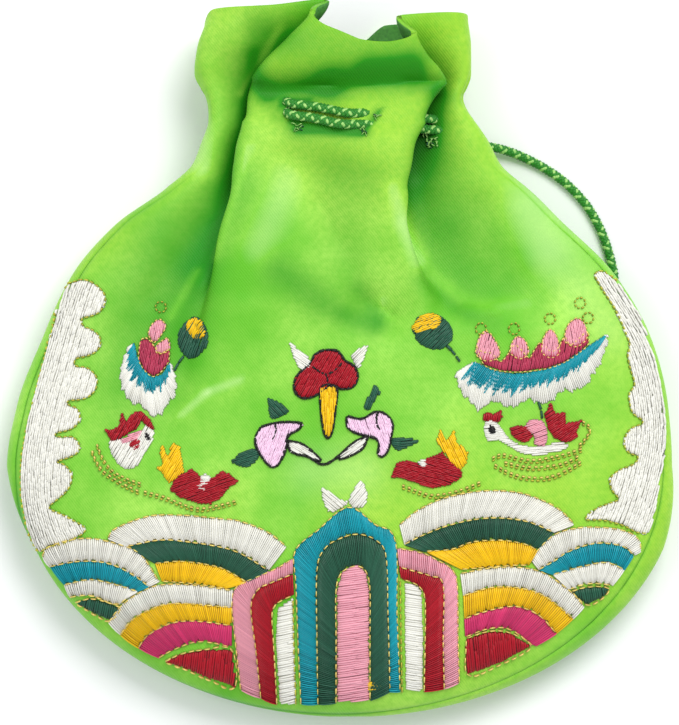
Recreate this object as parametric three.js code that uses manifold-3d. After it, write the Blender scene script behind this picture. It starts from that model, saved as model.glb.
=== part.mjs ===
// A silk lucky pouch: a round drawstring bag whose mouth is gathered into a frill.
// It lies on its back. X is across, Y runs from the round bottom to the mouth, Z is up, and Z = 0 is the
// floor. All lengths are in millimetres.
import * as THREE from "three";
import { mergeVertices } from "three/addons/utils/BufferGeometryUtils.js";
import Module from "manifold-3d";

const wasm = await Module();
wasm.setup();

// Driving dimensions of the bag
const POUCH_WIDTH = 133;
const POUCH_LENGTH = 143;
const CLOTH = 1.2;              // satin, interlining and lining together
const SEAM_GAP = 0.3;           // between the two panels along the side seam
const SEAM_HEIGHT = 8;          // how high the side seam of the belly lies over the floor
const FRONT_FULLNESS = 11.2;    // how far the front stands over the seam
const BACK_FULLNESS = 9.6;      // how far the back hangs under the seam before the floor flattens it
const FOLD_DEPTH = 8.4;         // how deep the two main pleats are at the neck
const FOLD_LEAN = 4;            // how far the middle lobe overhangs them
const GATHER_DEPTH = 2;         // how deep the gathers of the back are
const MERGE_DISTANCE = 1e-4;    // corners closer than this are one corner

// Driving dimensions of the drawcord
const CORD_DIAMETER = 2;
const CORD_CLEARANCE = 0.35;    // between the cord and the cloth that it lies on
const SLIT_CLEARANCE = 0.40;    // round the cord in its slits
const STRAND_GAP = 0.35;        // between the two strands at the neck
const END_GAP = 0.55;           // between the ends of the lower strand and of the free loop
const CORD_SIDES = 8;
const CORD_FACET = 1.3;         // length of a facet of the cord, as a share of its diameter

// Where the pleats lie, as shares of the cloth from the left seam to the right seam
const LEFT_FOLD = 0.306;
const RIGHT_FOLD = 0.65;
const LOWEST_ROW = 0.06;        // width of the lowest row of the cloth, as a share of the widest
const WIDEST = 0.348;           // share of the length at which the belly is widest
const NECK = 0.86;              // share of the length at which the cord draws it in
const SEAM_TURN = 0.07;         // share of the cloth that turns over at the seam
const BELLY_EDGE = 0.42;        // how squarely the cloth turns over at the seam: 0.5 is an ellipse
const BOTTOM_LEAN = 0.03;       // how far the bottom lies to the right, as a share of half the width
const LEAN_RISE = 1 / 3;        // how soon it does so below the widest part, as a share of WIDEST
const FOLDS_START = 0.53;       // share of the length at which the pleats run out into the belly
const NECK_START = 0.72;        // share of the length at which the belly ends
const GATHERS_START = 0.62;     // share of the length at which the gathers of the back run out

// Sections from the widest part up to the mouth. along is a share of POUCH_LENGTH, half and shift of half
// of POUCH_WIDTH, seam of SEAM_HEIGHT, front of FRONT_FULLNESS and back of BACK_FULLNESS.
const sections = [
  { along: 0.348, half: 1.000, shift: 0.000, seam: 1.00, front: 1.00, back: 1.00 },
  { along: 0.432, half: 0.979, shift: 0.009, seam: 1.00, front: 1.02, back: 0.98 },
  { along: 0.533, half: 0.909, shift: 0.022, seam: 1.05, front: 1.05, back: 0.90 },
  { along: 0.617, half: 0.811, shift: 0.012, seam: 1.15, front: 1.07, back: 0.72 },
  { along: 0.684, half: 0.674, shift: 0.002, seam: 1.30, front: 1.04, back: 0.66 },
  { along: 0.734, half: 0.542, shift: 0.022, seam: 1.50, front: 0.95, back: 0.68 },
  { along: 0.768, half: 0.459, shift: 0.021, seam: 1.60, front: 0.88, back: 0.72 },
  { along: 0.801, half: 0.425, shift: 0.017, seam: 1.68, front: 0.82, back: 0.76 },
  { along: 0.835, half: 0.388, shift: 0.004, seam: 1.72, front: 0.77, back: 0.78 },
  { along: 0.860, half: 0.370, shift: -0.017, seam: 1.75, front: 0.76, back: 0.80 },
  { along: 0.885, half: 0.391, shift: -0.017, seam: 1.72, front: 0.80, back: 0.92 },
  { along: 0.919, half: 0.409, shift: -0.020, seam: 1.68, front: 0.88, back: 1.10 },
  { along: 0.952, half: 0.406, shift: -0.017, seam: 1.65, front: 0.95, back: 1.28 },
  { along: 1.000, half: 0.390, shift: -0.010, seam: 1.60, front: 1.00, back: 1.40 },
];

// The two main pleats along the length. left and right are shares of the section's width at which the lips
// of the middle lobe lie, depth a share of FOLD_DEPTH and lean a share of FOLD_LEAN.
const pleats = [
  { along: 0.348, left: 0.21, leftDepth: 0, leftLean: 0, right: 0.7, rightDepth: 0, rightLean: 0 },
  { along: 0.432, left: 0.21, leftDepth: 0.14, leftLean: 0.12, right: 0.7, rightDepth: 0, rightLean: 0 },
  { along: 0.533, left: 0.215, leftDepth: 0.32, leftLean: 0.4, right: 0.7, rightDepth: 0.06, rightLean: 0 },
  { along: 0.575, left: 0.22, leftDepth: 0.4, leftLean: 0.55, right: 0.7, rightDepth: 0.42, rightLean: 0.35 },
  { along: 0.617, left: 0.224, leftDepth: 0.5, leftLean: 0.7, right: 0.685, rightDepth: 0.72, rightLean: 0.6 },
  { along: 0.684, left: 0.217, leftDepth: 0.7, leftLean: 0.9, right: 0.681, rightDepth: 0.92, rightLean: 0.8 },
  { along: 0.734, left: 0.178, leftDepth: 0.85, leftLean: 0.95, right: 0.689, rightDepth: 1, rightLean: 0.9 },
  { along: 0.768, left: 0.141, leftDepth: 0.92, leftLean: 0.95, right: 0.728, rightDepth: 1, rightLean: 0.9 },
  { along: 0.801, left: 0.131, leftDepth: 0.95, leftLean: 0.9, right: 0.759, rightDepth: 1, rightLean: 0.9 },
  { along: 0.835, left: 0.13, leftDepth: 0.95, leftLean: 0.85, right: 0.837, rightDepth: 0.95, rightLean: 0.85 },
  { along: 0.86, left: 0.13, leftDepth: 0.95, leftLean: 0.8, right: 0.9, rightDepth: 0.85, rightLean: 0.75 },
  { along: 0.885, left: 0.158, leftDepth: 0.9, leftLean: 0.8, right: 0.92, rightDepth: 0.8, rightLean: 0.7 },
  { along: 0.919, left: 0.228, leftDepth: 0.8, leftLean: 0.8, right: 0.89, rightDepth: 0.72, rightLean: 0.7 },
  { along: 0.952, left: 0.31, leftDepth: 0.7, leftLean: 0.8, right: 0.837, rightDepth: 0.66, rightLean: 0.7 },
  { along: 1, left: 0.4, leftDepth: 0.6, leftLean: 0.8, right: 0.794, rightDepth: 0.6, rightLean: 0.7 },
];

// The upper hem of the front: cloth is a share of the cloth's width, drop a share of POUCH_LENGTH below the
// highest point of the frill.
const frontHem = [
  { cloth: 0.00, drop: 0.050 },
  { cloth: 0.06, drop: 0.032 },
  { cloth: 0.12, drop: 0.014 },
  { cloth: 0.22, drop: 0.009 },
  { cloth: 0.30, drop: 0.000 },
  { cloth: 0.34, drop: 0.008 },
  { cloth: 0.40, drop: 0.040 },
  { cloth: 0.46, drop: 0.058 },
  { cloth: 0.53, drop: 0.061 },
  { cloth: 0.60, drop: 0.045 },
  { cloth: 0.65, drop: 0.022 },
  { cloth: 0.80, drop: 0.018 },
  { cloth: 0.93, drop: 0.022 },
  { cloth: 1.00, drop: 0.050 },
];

// The upper hem of the back, in the same columns
const backHem = [
  { cloth: 0.00, drop: 0.050 },
  { cloth: 0.08, drop: 0.030 },
  { cloth: 0.50, drop: 0.022 },
  { cloth: 0.92, drop: 0.026 },
  { cloth: 1.00, drop: 0.050 },
];

// Dents and soft ridges of the front, each along a straight stretch. The x values are shares of half of
// POUCH_WIDTH, the y values of POUCH_LENGTH from the bottom, wide of POUCH_WIDTH and depth of FOLD_DEPTH.
const frontDents = [
  { x1: -0.06, y1: 0.735, x2: 0.08, y2: 0.57, wide: 0.050, depth: 0.20 },
  { x1: 0.10, y1: 0.575, x2: 0.15, y2: 0.555, wide: 0.030, depth: 0.22 },
  { x1: -0.22, y1: 0.872, x2: 0.22, y2: 0.880, wide: 0.026, depth: 0.30 },
  { x1: -0.15, y1: 0.852, x2: 0.10, y2: 0.838, wide: 0.030, depth: 0.16 },
];

// Gathers of the back: cloth is a share of the cloth's width, wide of the same, depth of GATHER_DEPTH
const backGathers = [
  { cloth: 0.27, wide: 0.060, depth: 1.0 },
  { cloth: 0.73, wide: 0.060, depth: 1.0 },
];

// The two pleats: cloth is where each valley lies and spread how far it runs out into the side lobe, as
// shares of the cloth's width. toward is the way to the middle lobe. The lobe's lip stands beside the valley:
// its place and width are shares of LIP_SPREAD, and its reach one of FOLD_LEAN.
const LIP_SPREAD = 0.04;
const LIP_PLACE = 1.7;
const LIP_WIDTH = 1.1;
const LIP_REACH = 0.8;
const VALLEY_FLATNESS = 3;
const pleatLines = [
  { cloth: LEFT_FOLD, toward: 1, spread: 0.085, depth: "leftDepth", lean: "leftLean" },
  { cloth: RIGHT_FOLD, toward: -1, spread: 0.11, depth: "rightDepth", lean: "rightLean" },
];

// A column of a table at a place, on a smooth curve through its rows that never overshoots them
function read(table, place, column, key = "along") {
  let row = 0;
  while (row < table.length - 2 && place > table[row + 1][key]) row++;
  const slope = (from) => {
    if (from < 0 || from > table.length - 2) return 0;
    return (table[from + 1][column] - table[from][column]) / (table[from + 1][key] - table[from][key]);
  };
  const tangent = (at) => {
    const before = slope(at - 1);
    const after = slope(at);
    return before * after > 0 ? 2 * before * after / (before + after) : 0;
  };
  const start = table[row];
  const end = table[row + 1];
  const span = end[key] - start[key];
  const t = THREE.MathUtils.clamp((place - start[key]) / span, 0, 1);
  const ease = t * t * (3 - 2 * t);
  const leave = tangent(row) * span * t * (1 - t) * (1 - t);
  const arrive = tangent(row + 1) * span * t * t * (1 - t);
  return start[column] * (1 - ease) + end[column] * ease + leave - arrive;
}

function bell(distance, spread, power = 2) {
  return Math.exp(-(Math.abs(distance / spread) ** power));
}

// Half width, middle, seam height and fullness of the section at a share of the length
function sectionAt(along) {
  const upper = Math.max(along, WIDEST);
  const below = Math.max(0, 1 - along / WIDEST);
  const round = Math.sqrt(Math.max(0, 1 - below * below));
  const turn = Math.max(0, (round - LOWEST_ROW) / (1 - LOWEST_ROW)) ** (2 * BELLY_EDGE);
  const lean = BOTTOM_LEAN * Math.min(1, below / LEAN_RISE);
  return {
    half: read(sections, upper, "half") * round * (POUCH_WIDTH / 2 - CLOTH / 2),
    middle: (read(sections, upper, "shift") + lean) * POUCH_WIDTH / 2,
    seam: read(sections, upper, "seam") * SEAM_HEIGHT,
    front: read(sections, upper, "front") * FRONT_FULLNESS * turn,
    back: read(sections, upper, "back") * BACK_FULLNESS * turn,
  };
}

// Height along Y of a place on the cloth: straight rows up to the neck, then rows that fan out to the hem
function lengthwise(cloth, along, hem) {
  const bottom = -POUCH_LENGTH / 2 + CLOTH / 2;
  const length = POUCH_LENGTH - CLOTH / 2;
  if (along <= NECK) return bottom + along * length;
  const share = (along - NECK) / (1 - NECK);
  const top = 1 - read(hem, cloth, "drop", "cloth");
  return bottom + (NECK + (top - NECK) * share) * length;
}

// Turns a share of the cloth into an angle over the section, so that the pleats lie where the table says
function angleOf(cloth, along) {
  const atLip = (share) => Math.acos(1 - 2 * share) / Math.PI;
  const stations = [
    { cloth: 0, angle: 0 },
    { cloth: LEFT_FOLD, angle: atLip(read(pleats, along, "left")) },
    { cloth: RIGHT_FOLD, angle: atLip(read(pleats, along, "right")) },
    { cloth: 1, angle: 1 },
  ];
  return read(stations, cloth, "angle", "cloth") * Math.PI;
}

// Depth of the dents at a place, in millimetres
function dentAt(x, y) {
  const px = x / (POUCH_WIDTH / 2);
  const py = (y + POUCH_LENGTH / 2) / POUCH_LENGTH;
  const ratio = 2 * POUCH_LENGTH / POUCH_WIDTH;
  let depth = 0;
  for (const dent of frontDents) {
    const from = new THREE.Vector2(dent.x1, dent.y1 * ratio);
    const reach = new THREE.Vector2(dent.x2, dent.y2 * ratio).sub(from);
    const here = new THREE.Vector2(px, py * ratio).sub(from);
    const share = THREE.MathUtils.clamp(here.dot(reach) / reach.lengthSq(), 0, 1);
    const away = here.addScaledVector(reach, -share).length();
    depth += dent.depth * bell(away, 2 * dent.wide);
  }
  return depth * FOLD_DEPTH;
}

// Middle of the cloth of the front panel
function frontPoint(cloth, along) {
  const section = sectionAt(along);
  const angle = angleOf(cloth, along);
  const crown = Math.sin(angle) ** (2 * BELLY_EDGE);
  const y = lengthwise(cloth, along, frontHem);
  let x = section.middle - section.half * Math.cos(angle);
  let z = section.seam + SEAM_GAP / 2 + section.front * crown;
  z -= crown * dentAt(x, y);
  for (const line of pleatLines) {
    const inward = (cloth - line.cloth) * line.toward;
    const valley = bell(inward, inward < 0 ? line.spread : LIP_SPREAD, inward < 0 ? 2 : VALLEY_FLATNESS);
    const lip = bell(inward - LIP_PLACE * LIP_SPREAD, LIP_WIDTH * LIP_SPREAD);
    x += line.toward * (valley - LIP_REACH * lip) * read(pleats, along, line.lean) * FOLD_LEAN;
    z -= valley * read(pleats, along, line.depth) * FOLD_DEPTH;
  }
  return new THREE.Vector3(x, y, z);
}

// Middle of the cloth of the back panel, flat where it lies on the floor
function backPoint(cloth, along) {
  const section = sectionAt(along);
  const angle = cloth * Math.PI;
  const crown = Math.sin(angle) ** (2 * BELLY_EDGE);
  const y = lengthwise(cloth, along, backHem);
  const drawn = THREE.MathUtils.smoothstep(along, GATHERS_START, NECK);
  let gather = 0;
  for (const row of backGathers) gather += row.depth * bell(cloth - row.cloth, row.wide);
  const x = section.middle - section.half * Math.cos(angle);
  const hanging = section.seam - SEAM_GAP / 2 - section.back * crown + gather * drawn * GATHER_DEPTH;
  return new THREE.Vector3(x, y, Math.max(CLOTH / 2, hanging));
}

// A run of shares from start to end in equal steps, without its last one
function steps(start, end, count) {
  return Array.from({ length: count }, (unused, index) => start + (end - start) * index / count);
}

// A wall of cloth with its middle on a surface, closed along its edges
function clothWall(point, columns, rows, facing) {
  const near = 1e-4;
  const outer = [];
  const inner = [];
  for (const along of rows) {
    for (const cloth of columns) {
      const c1 = Math.max(0, cloth - near);
      const c2 = Math.min(1, cloth + near);
      const a1 = Math.max(rows[0], along - near);
      const a2 = Math.min(1, along + near);
      const across = point(c2, along).sub(point(c1, along));
      const lengthways = point(cloth, a2).sub(point(cloth, a1));
      const normal = across.cross(lengthways);
      if (cloth === 0 || cloth === 1) normal.z = 0;
      normal.normalize().multiplyScalar(facing * CLOTH / 2);
      const middle = point(cloth, along);
      const faces = [middle.clone().add(normal), middle.clone().sub(normal)];
      if (Math.min(cloth, 1 - cloth) < SEAM_TURN || along <= rows[1]) {
        const seam = sectionAt(along).seam + facing * SEAM_GAP / 2;
        for (const face of faces) face.z = facing > 0 ? Math.max(face.z, seam) : Math.min(face.z, seam);
      }
      outer.push(faces[0]);
      inner.push(faces[1]);
    }
  }
  const width = columns.length;
  const height = rows.length;
  const count = width * height;
  const faces = [];
  const quad = (a, b, c, d) => faces.push(a, b, c, a, c, d);
  for (let row = 0; row < height - 1; row++) {
    for (let column = 0; column < width - 1; column++) {
      const a = row * width + column;
      const [b, c, d] = [a + 1, a + width + 1, a + width];
      quad(a, b, c, d);
      quad(count + a, count + d, count + c, count + b);
    }
  }
  const rim = [];
  for (let column = 0; column < width - 1; column++) rim.push(column);
  for (let row = 0; row < height - 1; row++) rim.push(row * width + width - 1);
  for (let column = width - 1; column > 0; column--) rim.push((height - 1) * width + column);
  for (let row = height - 1; row > 0; row--) rim.push(row * width);
  rim.forEach((a, index) => {
    const b = rim[(index + 1) % rim.length];
    quad(a, count + a, count + b, b);
  });
  if (facing < 0) faces.reverse();
  const positions = [...outer, ...inner].flatMap((corner) => corner.toArray());
  const geometry = new THREE.BufferGeometry();
  geometry.setAttribute("position", new THREE.Float32BufferAttribute(positions, 3));
  geometry.setIndex(faces);
  return geometry;
}

function solidOf(geometry) {
  geometry.deleteAttribute("normal");
  geometry.deleteAttribute("uv");
  const merged = mergeVertices(geometry, MERGE_DISTANCE);
  const mesh = new wasm.Mesh({
    numProp: 3,
    vertProperties: Float32Array.from(merged.attributes.position.array),
    triVerts: Uint32Array.from(merged.index.array),
  });
  return new wasm.Manifold(mesh);
}

function geometryOf(solid) {
  const mesh = solid.getMesh();
  const geometry = new THREE.BufferGeometry();
  geometry.setAttribute("position", new THREE.BufferAttribute(mesh.vertProperties, 3));
  geometry.setIndex(new THREE.BufferAttribute(mesh.triVerts, 1));
  geometry.computeVertexNormals();
  return geometry;
}

// Columns and rows of the cloth, closest together at the pleats, the seams and the neck
const frontColumns = [
  ...steps(0, 0.20, 7),
  ...steps(0.20, 0.29, 4),
  ...steps(0.29, 0.41, 7),
  ...steps(0.41, 0.55, 4),
  ...steps(0.55, 0.67, 7),
  ...steps(0.67, 0.82, 5),
  ...steps(0.82, 1, 6),
  1,
];
const lowestTurn = Math.asin(LOWEST_ROW);
const lowerRows = steps(lowestTurn, Math.PI / 2, 9).map((turn) => WIDEST * (1 - Math.cos(turn)));
const upperRows = [...steps(NECK_START, NECK, 6), ...steps(NECK, 1, 6), 1];
const foldRows = [...steps(WIDEST, FOLDS_START, 4), ...steps(FOLDS_START, NECK_START, 7)];
const frontRows = [...lowerRows, ...foldRows, ...upperRows];
const backColumns = [...steps(0, 1, 20), 1];
const backRows = [...lowerRows, ...steps(WIDEST, NECK_START, 7), ...upperRows];

// One turn of the drawcord round the neck, starting at the right of the back. Over the front and over the
// back it lies on the cloth, and layer says which. In between it goes in through the pleats: across is a
// share of the neck's half width and height a share of its thickness. along is a share of POUCH_LENGTH.
const neckRoute = [
  { layer: "back", cloth: 0.66, along: 0.836 },
  { layer: "back", cloth: 0.58, along: 0.842 },
  { layer: "back", cloth: 0.50, along: 0.848 },
  { layer: "back", cloth: 0.42, along: 0.852 },
  { layer: "back", cloth: 0.35, along: 0.855 },
  { layer: "pleat", across: -0.66, height: 0.17, along: 0.857 },
  { layer: "pleat", across: -0.79, height: 0.29, along: 0.859 },
  { layer: "pleat", across: -0.82, height: 0.42, along: 0.860 },
  { layer: "pleat", across: -0.74, height: 0.54, along: 0.860 },
  { layer: "pleat", across: -0.64, height: 0.63, along: 0.860 },
  { layer: "pleat", across: -0.52, height: 0.72, along: 0.860 },
  { layer: "pleat", across: -0.43, height: 0.87, along: 0.860 },
  { layer: "front", cloth: 0.422, along: 0.859 },
  { layer: "front", cloth: 0.447, along: 0.855 },
  { layer: "front", cloth: 0.472, along: 0.850 },
  { layer: "front", cloth: 0.497, along: 0.846 },
  { layer: "pleat", across: 0.33, height: 0.87, along: 0.841 },
  { layer: "pleat", across: 0.42, height: 0.74, along: 0.838 },
  { layer: "pleat", across: 0.56, height: 0.66, along: 0.836 },
  { layer: "pleat", across: 0.68, height: 0.58, along: 0.834 },
  { layer: "pleat", across: 0.79, height: 0.50, along: 0.833 },
  { layer: "pleat", across: 0.85, height: 0.40, along: 0.832 },
  { layer: "pleat", across: 0.81, height: 0.28, along: 0.831 },
];

// Where the upper strand, a closed ring, comes out through the back again and meets its own beginning. The
// lower strand stops short of this, because its two ends carry on as the free loop.
const ringEnd = [
  { layer: "pleat", across: 0.74, height: 0.17, along: 0.833 },
  { layer: "back", cloth: 0.70, along: 0.834 },
  { layer: "back", cloth: 0.669, along: 0.835 },
];

// A place on the neck route, moved towards the belly by a distance
function neckPlace(stop, towardBelly) {
  const along = stop.along - towardBelly / POUCH_LENGTH;
  const section = sectionAt(along);
  const proud = CLOTH / 2 + CORD_CLEARANCE + CORD_DIAMETER / 2;
  if (stop.layer === "front") return frontPoint(stop.cloth, along).add(new THREE.Vector3(0, 0, proud));
  if (stop.layer === "back") return backPoint(stop.cloth, along).sub(new THREE.Vector3(0, 0, proud));
  const x = section.middle + section.half * stop.across;
  const z = section.seam - section.back + (section.front + section.back) * stop.height;
  return new THREE.Vector3(x, lengthwise(0.5, along, frontHem), z);
}

// The free loop of the cord, in millimetres: out behind the right side of the frill, over the floor, in
// under the edge of the belly and back up to the neck. It starts and ends at the lower strand.
const loopRoute = [
  [20.9, 44.2, 8.4],
  [22.4, 43.8, 6.5],
  [25.6, 43.3, 4.9],
  [29.6, 42.8, 3.4],
  [33.7, 41.9, 2.1],
  [37.7, 40.3, 1.3],
  [41.3, 38.4, 1.05],
  [44.8, 36.0, 1.05],
  [47.6, 33.4, 1.05],
  [49.8, 30.8, 1.05],
  [51.4, 28.2, 1.05],
  [52.7, 25.6, 1.05],
  [53.8, 22.6, 1.05],
  [54.7, 19.4, 1.05],
  [55.2, 16.4, 1.05],
  [54.6, 13.6, 1.05],
  [52.4, 11.9, 1.05],
  [49.2, 11.8, 1.05],
  [45.6, 13.2, 1.05],
  [42.0, 16.0, 1.05],
  [38.6, 19.6, 1.05],
  [35.0, 23.6, 1.05],
  [31.2, 27.8, 1.05],
  [27.6, 32.0, 1.1],
  [24.6, 36.0, 1.7],
  [22.0, 39.8, 2.8],
  [19.2, 43.0, 4.0],
  [16.0, 45.0, 4.8],
];

// A round cord along a curve through its stops
function cordAlong(stops, diameter) {
  const curve = new THREE.CatmullRomCurve3(stops, false, "centripetal");
  const section = new THREE.Shape();
  for (let side = 0; side < CORD_SIDES; side++) {
    const turn = 2 * Math.PI * side / CORD_SIDES;
    const corner = [diameter / 2 * Math.cos(turn), diameter / 2 * Math.sin(turn)];
    if (side === 0) section.moveTo(...corner);
    else section.lineTo(...corner);
  }
  const count = Math.ceil(curve.getLength() / (CORD_FACET * CORD_DIAMETER));
  return new THREE.ExtrudeGeometry(section, { steps: count, extrudePath: curve });
}

const satin = new THREE.MeshStandardMaterial({ color: 0x7cc242, roughness: 0.45, metalness: 0 });
const braid = new THREE.MeshStandardMaterial({ color: 0x2e9e2e, roughness: 0.6, metalness: 0 });

const group = new THREE.Group();

function addNode(name, geometry, material) {
  const mesh = new THREE.Mesh(geometry, material);
  mesh.name = name;
  group.add(mesh);
}

const strandPitch = CORD_DIAMETER + STRAND_GAP;
const strands = [
  { name: "neck_cord_upper", stops: [...neckRoute, ...ringEnd].map((stop) => neckPlace(stop, 0)) },
  { name: "neck_cord_lower", stops: neckRoute.map((stop) => neckPlace(stop, strandPitch)) },
];

// The free loop runs on from the last stop of the lower strand and comes back to its first. loopJoin is the
// straight way between the two, for which the cloth needs a slit too.
const lower = strands[1].stops;
const loopMiddle = loopRoute.map((stop) => new THREE.Vector3(...stop));
const loopStart = lower.at(-1).clone().lerp(loopMiddle[0], END_GAP / lower.at(-1).distanceTo(loopMiddle[0]));
const loopEnd = lower[0].clone().lerp(loopMiddle.at(-1), END_GAP / lower[0].distanceTo(loopMiddle.at(-1)));
const loop = { name: "cord_loop", stops: [loopStart, ...loopMiddle, loopEnd] };
const loopJoin = { stops: [lower.at(-1), loopMiddle[0]] };

// The cloth, with a slit wherever the cord goes through it
let frontSolid = solidOf(clothWall(frontPoint, frontColumns, frontRows, 1));
let backSolid = solidOf(clothWall(backPoint, backColumns, backRows, -1));
for (const strand of [...strands, loop, loopJoin]) {
  const slit = solidOf(cordAlong(strand.stops, CORD_DIAMETER + 2 * SLIT_CLEARANCE));
  frontSolid = frontSolid.subtract(slit);
  backSolid = backSolid.subtract(slit);
}
addNode("front_panel", geometryOf(frontSolid), satin);
addNode("back_panel", geometryOf(backSolid), satin);
for (const strand of [...strands, loop]) {
  addNode(strand.name, geometryOf(solidOf(cordAlong(strand.stops, CORD_DIAMETER))), braid);
}

export default group;
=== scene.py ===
# A silk lucky pouch with a gathered neck, raised embroidery and a braided drawcord, lying on its back
import math
from collections import defaultdict

import bmesh
import bpy
import numpy as np
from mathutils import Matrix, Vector
from mathutils.bvhtree import BVHTree


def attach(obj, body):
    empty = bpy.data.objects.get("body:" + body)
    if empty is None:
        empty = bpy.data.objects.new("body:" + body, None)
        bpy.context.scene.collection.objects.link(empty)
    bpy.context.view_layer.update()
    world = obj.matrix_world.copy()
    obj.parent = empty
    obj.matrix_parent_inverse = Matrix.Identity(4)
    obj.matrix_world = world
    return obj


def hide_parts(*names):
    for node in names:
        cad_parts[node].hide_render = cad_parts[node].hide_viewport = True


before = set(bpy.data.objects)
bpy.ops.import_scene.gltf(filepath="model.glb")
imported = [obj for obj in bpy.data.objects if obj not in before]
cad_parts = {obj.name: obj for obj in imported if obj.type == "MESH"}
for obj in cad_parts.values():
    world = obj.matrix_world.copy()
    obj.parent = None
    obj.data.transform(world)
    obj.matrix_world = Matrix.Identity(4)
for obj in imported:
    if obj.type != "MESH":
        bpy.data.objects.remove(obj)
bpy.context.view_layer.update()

# The camera looks straight down at the pouch, as the photograph does. A pixel of the photograph is 0.2 mm
# on the pouch, and its middle is the middle of the pouch's outline.
MM = 0.001
PIXEL = 0.2
PHOTO_HEIGHT = 725
PHOTO_MIDDLE = (339.5, 359.5)
CAMERA_HEIGHT = 1.3
SEAM_PLANE = 8 * MM

camera = bpy.data.objects.new("camera", bpy.data.cameras.new("camera"))
camera.location = (0, (PHOTO_MIDDLE[1] - PHOTO_HEIGHT / 2) * PIXEL * MM, CAMERA_HEIGHT)
camera.data.sensor_fit = "VERTICAL"
camera.data.angle = 2 * math.atan(PHOTO_HEIGHT * PIXEL * MM / 2 / (CAMERA_HEIGHT - SEAM_PLANE))
camera.data.clip_start = 0.01
bpy.context.collection.objects.link(camera)
bpy.context.scene.camera = camera


def in_photo(column, row):
    """The place on the pouch, in millimetres, that a pixel of the photograph shows."""
    return ((column - PHOTO_MIDDLE[0]) * PIXEL, (PHOTO_MIDDLE[1] - row) * PIXEL)


# Drawcord: a round cord 2 mm thick, plaited from eight rayon yarns in two greens over a core. The free loop
# comes out behind the right side of the frill, lies over the floor and goes back in under the belly.
CORD_DIAMETER = 2.0
CORD_YARNS = 8
CORD_PITCH = 3.0
YARN_RADIUS = 0.36
YARN_INSET = 1.3
YARN_WAVE = 0.3
CORD_STEP = 0.125
CORE_STEP = 6
RELIEF_DEPTH = 0.1
LOOP_ROUTE = [
    (22.4, 44.9, 10.35), (20.9, 44.2, 8.4), (22.4, 43.8, 6.5), (25.6, 43.3, 4.9), (29.6, 42.8, 3.4),
    (33.7, 41.9, 2.1), (37.7, 40.3, 1.3), (41.3, 38.4, 1.05), (44.8, 36.0, 1.05), (47.6, 33.4, 1.05),
    (49.8, 30.8, 1.05), (51.4, 28.2, 1.05), (52.7, 25.6, 1.05), (53.8, 22.6, 1.05), (54.7, 19.4, 1.05),
    (55.2, 16.4, 1.05), (54.6, 13.6, 1.05), (52.4, 11.9, 1.05), (49.2, 11.8, 1.05), (45.6, 13.2, 1.05),
    (42.0, 16.0, 1.05), (38.6, 19.6, 1.05), (35.0, 23.6, 1.05), (31.2, 27.8, 1.05), (27.6, 32.0, 1.1),
    (24.6, 36.0, 1.7), (22.0, 39.8, 2.8), (19.2, 43.0, 4.0), (16.0, 45.0, 4.8), (14.1, 45.6, 5.25),
]


def linear(code):
    """An sRGB hex colour as linear red, green, blue and alpha."""
    parts = [int(code[place : place + 2], 16) / 255 for place in (0, 2, 4)]
    return (*[part / 12.92 if part < 0.04045 else ((part + 0.055) / 1.055) ** 2.4 for part in parts], 1)


def add_node(tree, kind, inputs=None, **settings):
    """Adds a node with its settings, and sets or links its inputs."""
    made = tree.nodes.new(kind)
    for name, value in settings.items():
        setattr(made, name, value)
    for name, value in (inputs or {}).items():
        if isinstance(value, bpy.types.NodeSocket):
            tree.links.new(value, made.inputs[name])
        else:
            made.inputs[name].default_value = value
    return made


def new_material(name):
    """An empty material and its node tree."""
    material = bpy.data.materials.new(name)
    material.use_nodes = True
    material.node_tree.nodes.clear()
    return material, material.node_tree


def noise(tree, scale, detail=2, roughness=0.5):
    """Cloudy noise over the object, from 0 to 1."""
    place = add_node(tree, "ShaderNodeTexCoord").outputs["Object"]
    inputs = {"Vector": place, "Scale": scale, "Detail": detail, "Roughness": roughness}
    return add_node(tree, "ShaderNodeTexNoise", inputs).outputs["Fac"]


def mixed(tree, share, first, second):
    """Two colours mixed by a share. Each is a hex code or the colour of a node."""
    first, second = (linear(colour) if isinstance(colour, str) else colour for colour in (first, second))
    inputs = {"Factor": share, "A": first, "B": second}
    return add_node(tree, "ShaderNodeMix", inputs, data_type="RGBA").outputs["Result"]


def relief(tree, height, strength, below=None):
    """The normal of a fine relief, over the one below it."""
    inputs = {"Height": height, "Strength": strength, "Distance": RELIEF_DEPTH * MM}
    if below is not None:
        inputs["Normal"] = below
    return add_node(tree, "ShaderNodeBump", inputs).outputs["Normal"]


def surface(tree, colour, settings):
    """The shader of a surface, joined to the material's output."""
    shader = add_node(tree, "ShaderNodeBsdfPrincipled", {"Base Color": colour, **settings})
    add_node(tree, "ShaderNodeOutputMaterial", {"Surface": shader.outputs["BSDF"]})


def rayon_yarn(name, colour, shade):
    """Dyed rayon: a colour and its shade in fine specks, with the filaments as a relief."""
    material, tree = new_material(name)
    speck = noise(tree, 2600)
    settings = {
        "Roughness": 0.42,
        "IOR": 1.53,
        "Specular IOR Level": 0.3,
        "Sheen Weight": 0.1,
        "Normal": relief(tree, speck, 0.4),
    }
    surface(tree, mixed(tree, speck, shade, colour), settings)
    return material


cord_materials = [
    rayon_yarn("rayon_yarn_green", "3A9C2C", "0C6014"),
    rayon_yarn("rayon_yarn_light_green", "CDF296", "56AC3A"),
]


def run_along(line):
    """How far along a line each of its points lies."""
    return np.concatenate([[0], np.cumsum(np.linalg.norm(np.diff(line, axis=0), axis=1))])


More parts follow.
